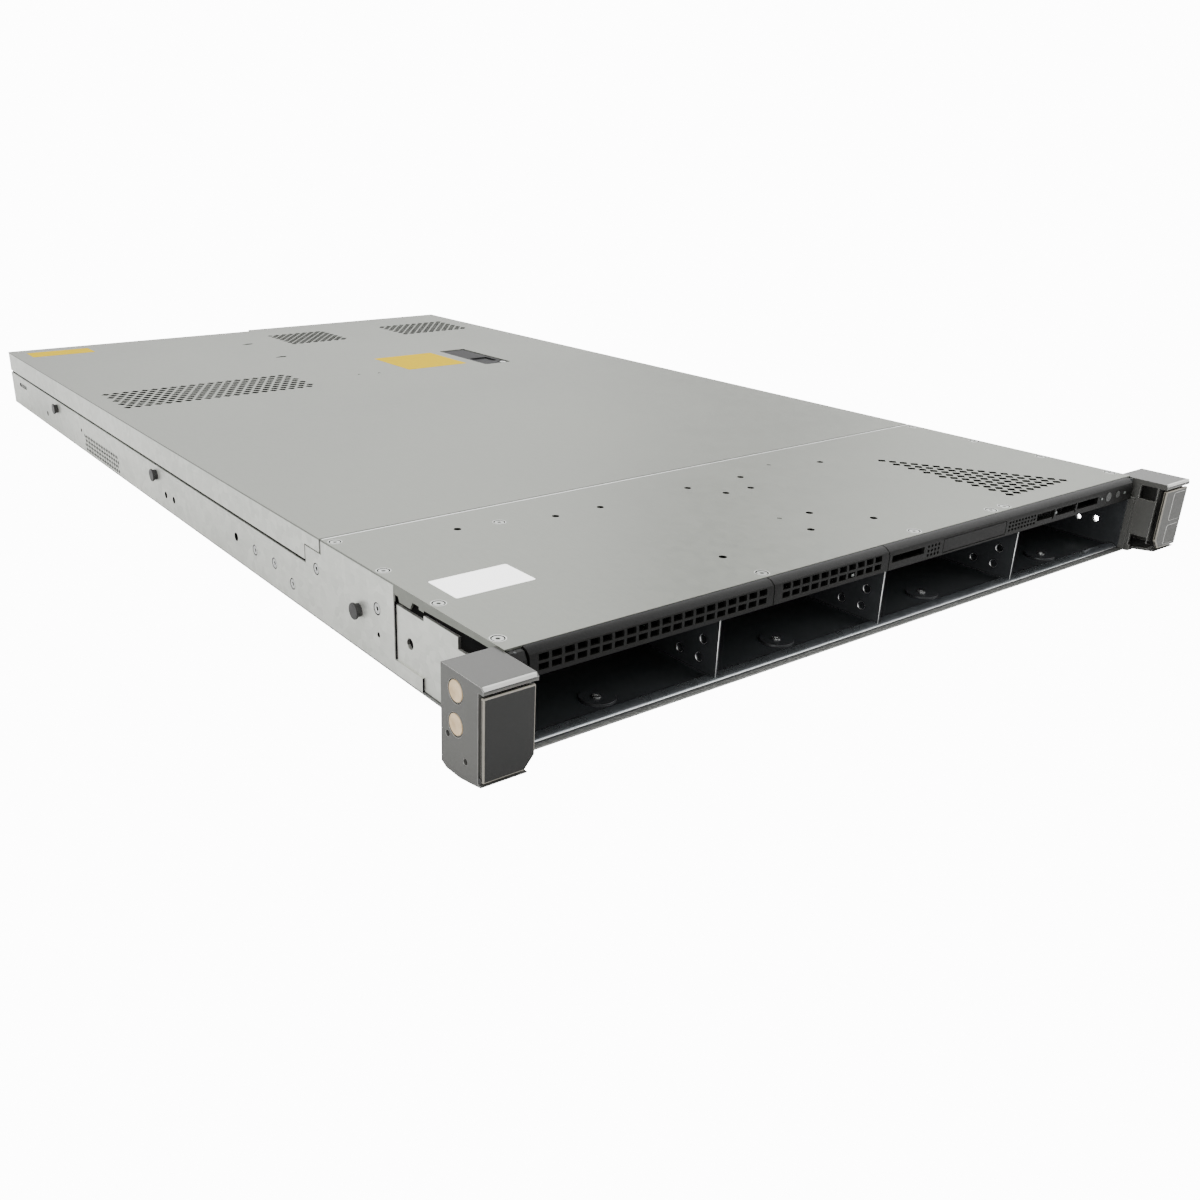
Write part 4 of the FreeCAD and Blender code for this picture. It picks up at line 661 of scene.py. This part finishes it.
def sticker(name, left, near, right, far, light, dark, body, painted_glow):
    paper = Finish(name + "_paper", 0.75, gleam=0.03)
    fibres = paper.noise(1200.0, FINE_DETAIL) * 0.5 + paper.noise(40.0) * 0.5
    paper.colour(paper.mix(fibres, dark, light))
    # Painted light: the paper glows in its own light colour.
    paper.shader.inputs["Emission Color"].default_value = (*light, 1.0)
    paper.shader.inputs["Emission Strength"].default_value = painted_glow
    piece = prism(name, "XY", oblong(left, near, right, far, 1.0),
                  SHEET_TOP - 0.02, SHEET_TOP + 0.07)
    dressed(piece, paper.material, body, "zinc")


PLAIN_WHITE = ((0.98, 0.98, 0.97), (0.90, 0.90, 0.89))
YELLOW = ((0.66, 0.46, 0.002), (0.60, 0.40, 0.002))
sticker("white_sticker", -204.5, 52.3, -164.0, 75.0, *PLAIN_WHITE, "chassis", 1.8)
sticker("yellow_sticker", 35.0, 494.5, 91.0, 553.5, *YELLOW, "cover", 0.1)
sticker("rear_yellow_sticker", -206.0, 711.0, -154.0, 734.0, *YELLOW, "cover", 0.1)


# --- Cover latch ------------------------------------------------------------------------------
# A moulded tub sunk into the lid holds the lever, which is pressed flat and locked by one screw.
# Both are glass-filled plastic, nearly black, with a fine grain.

latch_black = two_tone("latch_black", (0.004, 0.004, 0.005), (0.010, 0.010, 0.011), 70.0, 0.6,
                       gleam=0.06, grain=1300.0)
lever_grey = two_tone("lever_grey", (0.012, 0.012, 0.013), (0.022, 0.022, 0.023), 50.0, 0.55,
                      gleam=0.10, grain=1300.0)
restored("latch_well", "latch_tub", 0.3, 2, latch_black, "cover", "black_plastic")
restored("cover_latch", "latch_handle", 0.35, 2, lever_grey, "latch_lever", "latch_plastic")
restored("latch_screw", "locking_screw", 0.2, 2, screw_steel, "cover", "steel")


# --- Front strip ------------------------------------------------------------------------------
# Moulded black strip over the bays, in three pieces with a rounded lip and two rows of air holes.
# The right one holds the pull-out tray and the sockets, with groups of small vents between them.

strip_black = two_tone("strip_black", (0.003, 0.003, 0.0028), (0.007, 0.007, 0.0065), 60.0, 0.42,
                       gleam=0.12, grain=1400.0)
strip_face = (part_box("control_strip")[0].y - front) * METRE
strip_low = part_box("control_strip")[0].z * METRE
VENT_ROWS = (34.1, 36.1, 38.1)
SLOTS_START, SLOTS_PITCH, SLOTS = 94.0, 2.75, 9

restored("grille_blanks", "grille_mouldings", 0.25, 2, strip_black, "chassis", "strip_plastic")
end_piece = prism("strip_end", "YZ", [
    (-0.6, top - 0.8), (-3.0, top - 1.2), (strip_face + 0.4, top - 4.4),
    (strip_face + 0.4, strip_low), (5, strip_low), (5, top - 2.4), (-0.6, top - 2.4)],
    -half_width + 0.6, -half_width + 7.2)
dressed(eased(end_piece, 0.4, 2), strip_black, "chassis", "strip_plastic")


def slot_cutters(columns, reach):
    """Small flat vents in three rows."""
    return [block("vent", (x - reach, strip_face - 1, z - 0.6), (x + reach, strip_face + 3, z + 0.6))
            for x in columns for z in VENT_ROWS]


cutters = [peg("vent", (x, strip_face, z), 0.8, 4, "Y", 8)
           for x in (27.5, 30.1, 32.7, 35.3) for z in (33.6, 35.8, 38.0)]
cutters += slot_cutters([SLOTS_START + SLOTS_PITCH * k for k in range(SLOTS)], 0.85)
cutters += slot_cutters((133.4, 154.4), 0.6)
control = eased(shaped(taken_from("control_strip", "control_moulding"), cutters), 0.22, 2)
dressed(control, strip_black, "chassis", "strip_plastic", "control_strip")
restored("display_tray", "tray", 0.3, 2, strip_black, "display", "strip_plastic")
# Painted highlight: a pale grey lip on the black moulding.
slot_lip_highlight = two_tone("slot_lip_highlight", (0.30, 0.31, 0.31), (0.42, 0.43, 0.43), 120.0, 0.4, 0.3)
lip_highlight = block("slot_lip", (1.0, strip_face + 0.4, 33.0), (24.0, strip_face + 2.0, 33.8))
dressed(eased(lip_highlight, 0.2, 2), slot_lip_highlight, "chassis", "strip_plastic")


# --- Buttons and lights -----------------------------------------------------------------------
# Two round moulded caps, which press in, and a row of clear light pipes beside them.

button_grey = two_tone("button_grey", (0.020, 0.021, 0.020), (0.035, 0.037, 0.035), 80.0, 0.34)
for node, body in (("power_button", "power_key"), ("uid_button", "uid_key")):
    restored(node, node + "_cap", 0.3, 3, button_grey, body, "button_plastic")
clear_pipe = two_tone("clear_pipe", (0.07, 0.08, 0.075), (0.12, 0.13, 0.125), 200.0, 0.2)
restored("status_lights", "light_pipes", 0.2, 2, clear_pipe, "chassis", "light_pipe")


# --- Rack ears --------------------------------------------------------------------------------
# Hollow grey castings with painted highlights on their edges. Each is open behind its flap, and has
# two round seats for plugs and two small holes in its outer side, and a lip along the top of its
# face painted bright as a highlight. The right casting is painted darker, as shade.

EAR_GRAIN, EAR_RELIEF = 1100.0, 0.00003
ear_grey = two_tone("ear_grey", (0.075, 0.075, 0.070), (0.10, 0.10, 0.094), 30.0, 0.42,
                    gleam=0.3, grain=EAR_GRAIN, relief=EAR_RELIEF)
ear_painted_shade = two_tone("ear_painted_shade", (0.050, 0.050, 0.046), (0.075, 0.075, 0.070), 30.0, 0.36,
                     grain=EAR_GRAIN, relief=EAR_RELIEF)
# Painted highlight: a pale grey for the castings' edges, their lips and the bare plates' edges.
ear_edge_highlight = two_tone("ear_edge_highlight", (0.48, 0.48, 0.46), (0.62, 0.62, 0.60), 60.0, 0.3, 0.3)
ear_face = -21.5
ear_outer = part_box("right_ear")[1].x * METRE
MOUTH_LOW, MOUTH_HIGH, HEEL_HIGH = 3.0, 39.6, 9.0
MOUTH_BACK, HEEL_BACK, CHIN_BACK, BEYOND = -18.4, -16.5, -8.0, 245
PLUGS = ((-3.6, 34.3), (-3.6, 20.8))
EAR_HOLES = ((1.5, 15.0), (-10.3, 8.5))
# The right casting gets a darker copy of the grey: painted shade.
EARS = (("left", -1, ear_grey), ("right", 1, ear_painted_shade))

for name, side, grey in EARS:
    root = side * (half_width + 0.4)
    mouth = block("mouth", (root, ear_face - 1, MOUTH_LOW), (side * BEYOND, MOUTH_BACK, MOUTH_HIGH))
    heel = block("heel", (root, ear_face - 1, MOUTH_LOW),
                 (side * (ear_outer - 1.9), HEEL_BACK, HEEL_HIGH))
    chin = prism("chin", "XZ", [
        (side * (half_width - 1), -1), (side * (half_width + 6.5), -1),
        (side * (half_width - 1), 8.6)], ear_face - 1, CHIN_BACK)
    holes = [peg("hole", (side * ear_outer, y, z), 1.3, 7, "X", HOLE_SIDES) for y, z in EAR_HOLES]
    holes += [peg("seat", (side * ear_outer, y - 0.3, z), 4.95, 1.6, "X", 32) for y, z in PLUGS]
    casting = taken_from(name + "_ear", name + "_ear_casting")
    for cutters in ([mouth], [heel], [chin], holes):
        casting = shaped(casting, cutters)
    dressed(eased(casting, 0.5, 2, edge_material=ear_edge_highlight), grey, "chassis", "ear_paint",
            name + "_ear")
    inner, outer = side * (half_width + 0.6), side * (ear_outer - 0.3)
    # Painted highlight: the lip along the top of the face.
    lip_highlight = prism(name + "_ear_lip", "XZ", [
        (inner, 40.1), (outer, 40.1), (outer, 42.6), (inner, 42.6)], ear_face, ear_face + 1.6)
    dressed(eased(lip_highlight, 0.6, 2), ear_edge_highlight, "chassis", "ear_paint")


# --- Ear flaps --------------------------------------------------------------------------------
# A panel with a rounded rim, painted pale as a highlight, closes the front of each ear and swings
# down over the rack screw. The left one is dark and glossy; the right one is olive and carries two
# bare plates, with painted highlights on their edges.

gloss = two_tone("gloss", (0.004, 0.004, 0.0035), (0.009, 0.009, 0.008), 20.0, 0.14, gleam=0.35)
# Painted highlight on the flap panels' rounded rims.
flap_rim_highlight = two_tone("flap_rim_highlight", (0.13, 0.122, 0.10), (0.30, 0.28, 0.24), 60.0, 0.3)
olive = two_tone("olive", (0.020, 0.020, 0.016), (0.032, 0.032, 0.027), 60.0, 0.3, gleam=0.3)
FLAP_LOW, FLAP_CORNER, FLAP_HIGH = 4.3, 9.6, 38.2

for name, side, colour in (("left", -1, gloss), ("right", 1, olive)):
    inner, outer = side * (half_width + 0.9), side * (ear_outer - 0.3)
    panel = prism(name + "_flap_panel", "XZ", [
        (outer, FLAP_LOW), (inner + side * 4.4, FLAP_LOW), (inner, FLAP_CORNER),
        (inner, FLAP_HIGH), (outer, FLAP_HIGH)], ear_face + 0.15, ear_face + 2.0)
    dressed(eased(panel, 0.6, 3, edge_material=flap_rim_highlight), colour, name + "_flap",
            "lever_gloss", name + "_lever")
    core = block(name + "_flap_core", (inner + side * 1.2, ear_face + 2.0, 6.6),
                 (outer - side * 2.0, ear_face + 3.6, 37.6))
    dressed(core, strip_black, name + "_flap", "lever_gloss")

bare_grey = two_tone("bare_grey", (0.028, 0.028, 0.024), (0.042, 0.042, 0.037), 60.0, 0.35,
                     gleam=0.25)
for low, high in ((20.0, 36.5), (5.8, 17.5)):
    bare = prism("bare_plate", "XZ", oblong(half_width + 9.6, low, ear_outer - 1.6, high, 1.5),
                 ear_face + 0.02, ear_face + 0.4)
    # The bare plates' edges get a painted highlight.
    dressed(eased(bare, 0.35, 2, edge_material=ear_edge_highlight), bare_grey, "right_flap", "lever_gloss")


# --- Ear plugs, brackets and screws -----------------------------------------------------------
# Two tan plugs, worn pale, sit in each ear's outer side. Steel plates with two holes carry the
# ears from the bay's sides; the rack screws and the flaps' pins are blackened steel.

tan = Finish("tan", 0.5)
worn = tan.noise(160.0).above(0.52, 0.2)
tan.colour(tan.mix(worn, (0.50, 0.36, 0.20), (0.66, 0.50, 0.31)))
restored("ear_discs", "ear_plugs", 0.3, 2, tan.material, "chassis", "tan_disc")

# Place back, height and radius; the holes go through the plates and the bay's sides.
BAY_HOLES = ((12.5, 14.8, 1.9), (22.6, 13.3, 1.5))
BAY_REACH = 450
cutters = [peg("hole", (0, y, z), reach, BAY_REACH, "X", 24) for y, z, reach in BAY_HOLES]
cutters.append(block("corner", (-230, 15, 30.5), (230, 33, 45)))
plates = eased(shaped(taken_from("ear_brackets", "bracket_plates"), cutters), 0.25, 2)
# Painted shade: the plates' front faces and the faces turned to the middle get the ear's darker
# grey.
backed(plates, ear_painted_shade,
       lambda face: face.normal.y < -0.9 or face.center.x * face.normal.x < -0.1)
dressed(plates, side_steel, "chassis", "zinc", "ear_brackets")
restored("rack_screws", "ear_screws", 0.3, 2, black_steel.material, "chassis", "black_steel")
pins = shaped(taken_from("lever_pins", "flap_pins"), [
    block("end", (side * (half_width - 1), -25, 0), (side * (half_width + 5.5), -10, 10))
    for side in SIDES])
dressed(eased(pins, 0.2, 2), black_steel.material, "chassis", "steel", "lever_pins")


# --- Drive bays -------------------------------------------------------------------------------
# Four open bays behind the front: a floor whose front sill and lip are painted bright as highlights,
# round dimples and a screw in each, thin dividers with painted highlights on their edges, and a
# shelf above. All are dark zinc-plated sheet; the outer faces of the bay sides get painted shade.

bay_steel = galvanised("bay_steel", (0.026, 0.028, 0.030), (0.038, 0.041, 0.044), 0.45, 0.4,
                       0.000003)
# Painted highlight: a far brighter copy of the bay's dark zinc for the front sill.
sill_highlight_steel = galvanised("sill_highlight_steel", (0.16, 0.175, 0.185), (0.26, 0.28, 0.295), 0.3, 0.85)
SILL_REACH = 213.0
DIVIDER_HOLES = ((20.6, 9.1), (6.8, 18.1), (8.6, 9.0))
BAY_SCREWS = (-161.0, -53.0, 55.0, 163.0)

restored("drive_cage", "bay_floor", 0.15, 1, bay_steel, "chassis", "dark_zinc")
sill = prism("bay_sill", "YZ", [
    (-2.9, 1.1), (2.6, 1.3), (2.6, 2.6), (1.8, 3.4), (-1.1, 3.4), (-2.9, 2.4)],
    -SILL_REACH, SILL_REACH)
dressed(eased(sill, 0.3, 2), sill_highlight_steel, "chassis", "dark_zinc")
# Painted highlight: a pale strip along the sill's front edge.
bay_lip_highlight = block("bay_lip", (-SILL_REACH, -2.95, 1.0), (SILL_REACH, -2.5, 2.2))
dressed(eased(bay_lip_highlight, 0.1, 1), pale_highlight, "chassis", "dark_zinc")
cutters = [peg("hole", (0, y, z), reach, BAY_REACH, "X", 24) for y, z, reach in BAY_HOLES]
uprights = eased(shaped(taken_from("cage_sides", "bay_sides"), cutters), 0.2, 1)
# Painted shade on the outer faces of the bay sides.
backed(uprights, painted_shade,
       lambda face: abs(face.normal.x) > 0.9 and face.center.x * face.normal.x > 0)
dressed(uprights, bay_steel, "chassis", "dark_zinc", "cage_sides")
restored("cage_shelf", "bay_shelf", 0.2, 1, bay_steel, "chassis", "dark_zinc")
low_corner, high_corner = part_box("bay_dividers")
middle = (low_corner.x + high_corner.x) / 2 * METRE
holes = [peg("hole", (middle, y, z), 2.0, BAY_REACH, "X", HOLE_SIDES) for y, z in DIVIDER_HOLES]
dividers = shaped(taken_from("bay_dividers", "dividers"), holes)
# Painted highlight on the dividers' bevelled edges.
dressed(eased(dividers, 0.2, 1, edge_material=pale_highlight), bay_steel, "chassis", "dark_zinc",
        "bay_dividers")
dimple_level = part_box("drive_cage")[1].z * METRE
screws("bay_screws", [(x, 13.0, dimple_level + 0.5) for x in BAY_SCREWS], "Z", 2.0,
       screw_steel, "steel", 1)


# --- Boards -----------------------------------------------------------------------------------
# Green laminate with coarse traces that run from front to back. These nodes and those in the
# sections below keep the frame's own shape and get a finish alone.

def finished(material, *names):
    """Gives CAD nodes that keep their shape a finish."""
    for name in names:
        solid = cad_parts[name]
        solid.data.materials.clear()
        solid.data.materials.append(material)


laminate = Finish("laminate", 0.45)
traces = laminate.cells(260.0, (1, 0.25, 1)).above(0.55, 0.05)
laminate.colour(laminate.mix(traces, (0.010, 0.060, 0.022), (0.018, 0.105, 0.040)))
laminate.bump(traces, 0.00004)
finished(laminate.material, "system_board", "drive_backplane", "button_board", "memory_modules",
         "power_board", "riser_board")


# --- Sockets, fans and baffle -----------------------------------------------------------------
# Black mouldings: memory sockets, fan frames and rotors, and a smoked sheet that leads the air.

moulded = two_tone("moulded", (0.012, 0.012, 0.012), (0.030, 0.030, 0.030), 100.0, 0.5,
                   grain=1200.0)
smoked = two_tone("smoked", (0.020, 0.020, 0.022), (0.045, 0.045, 0.048), 15.0, 0.3)
finished(moulded, "memory_slots", "fan_frames", *[f"fan_rotor_{n}" for n in range(1, 6)])
finished(smoked, "air_baffle")


# --- Coolers and inner sheets -----------------------------------------------------------------
# Bright aluminium fins on the processors, and the folded zinc sheets that hold fans, supplies and
# expansion boards.

fin_metal = two_tone("fin_metal", (0.62, 0.63, 0.64), (0.78, 0.79, 0.80), 25.0, 0.3, 0.95)
finished(fin_metal, "heatsink_left", "heatsink_right")
finished(side_steel, "fan_bulkhead", "psu_bay", "riser_bracket", "slot_covers")


# --- Supplies and ports -----------------------------------------------------------------------
# Two supplies in plain steel cases, each with a black inlet and handle and a rust-red latch, and
# the bright steel shells of the network, display and serial ports.

supply_steel = galvanised("supply_steel", (0.42, 0.43, 0.42), (0.56, 0.57, 0.56), 0.36, 0.85)
shell_steel = galvanised("shell_steel", (0.55, 0.56, 0.56), (0.68, 0.69, 0.69), 0.28, 0.95)
rust_red = two_tone("rust_red", (0.20, 0.04, 0.02), (0.27, 0.06, 0.03), 60.0, 0.4)
for supply in ("psu_1", "psu_2"):
    finished(supply_steel, supply + "_case")
    finished(moulded, supply + "_inlet", supply + "_handle")
    finished(rust_red, supply + "_latch")
finished(shell_steel, "network_ports", "peripheral_ports")
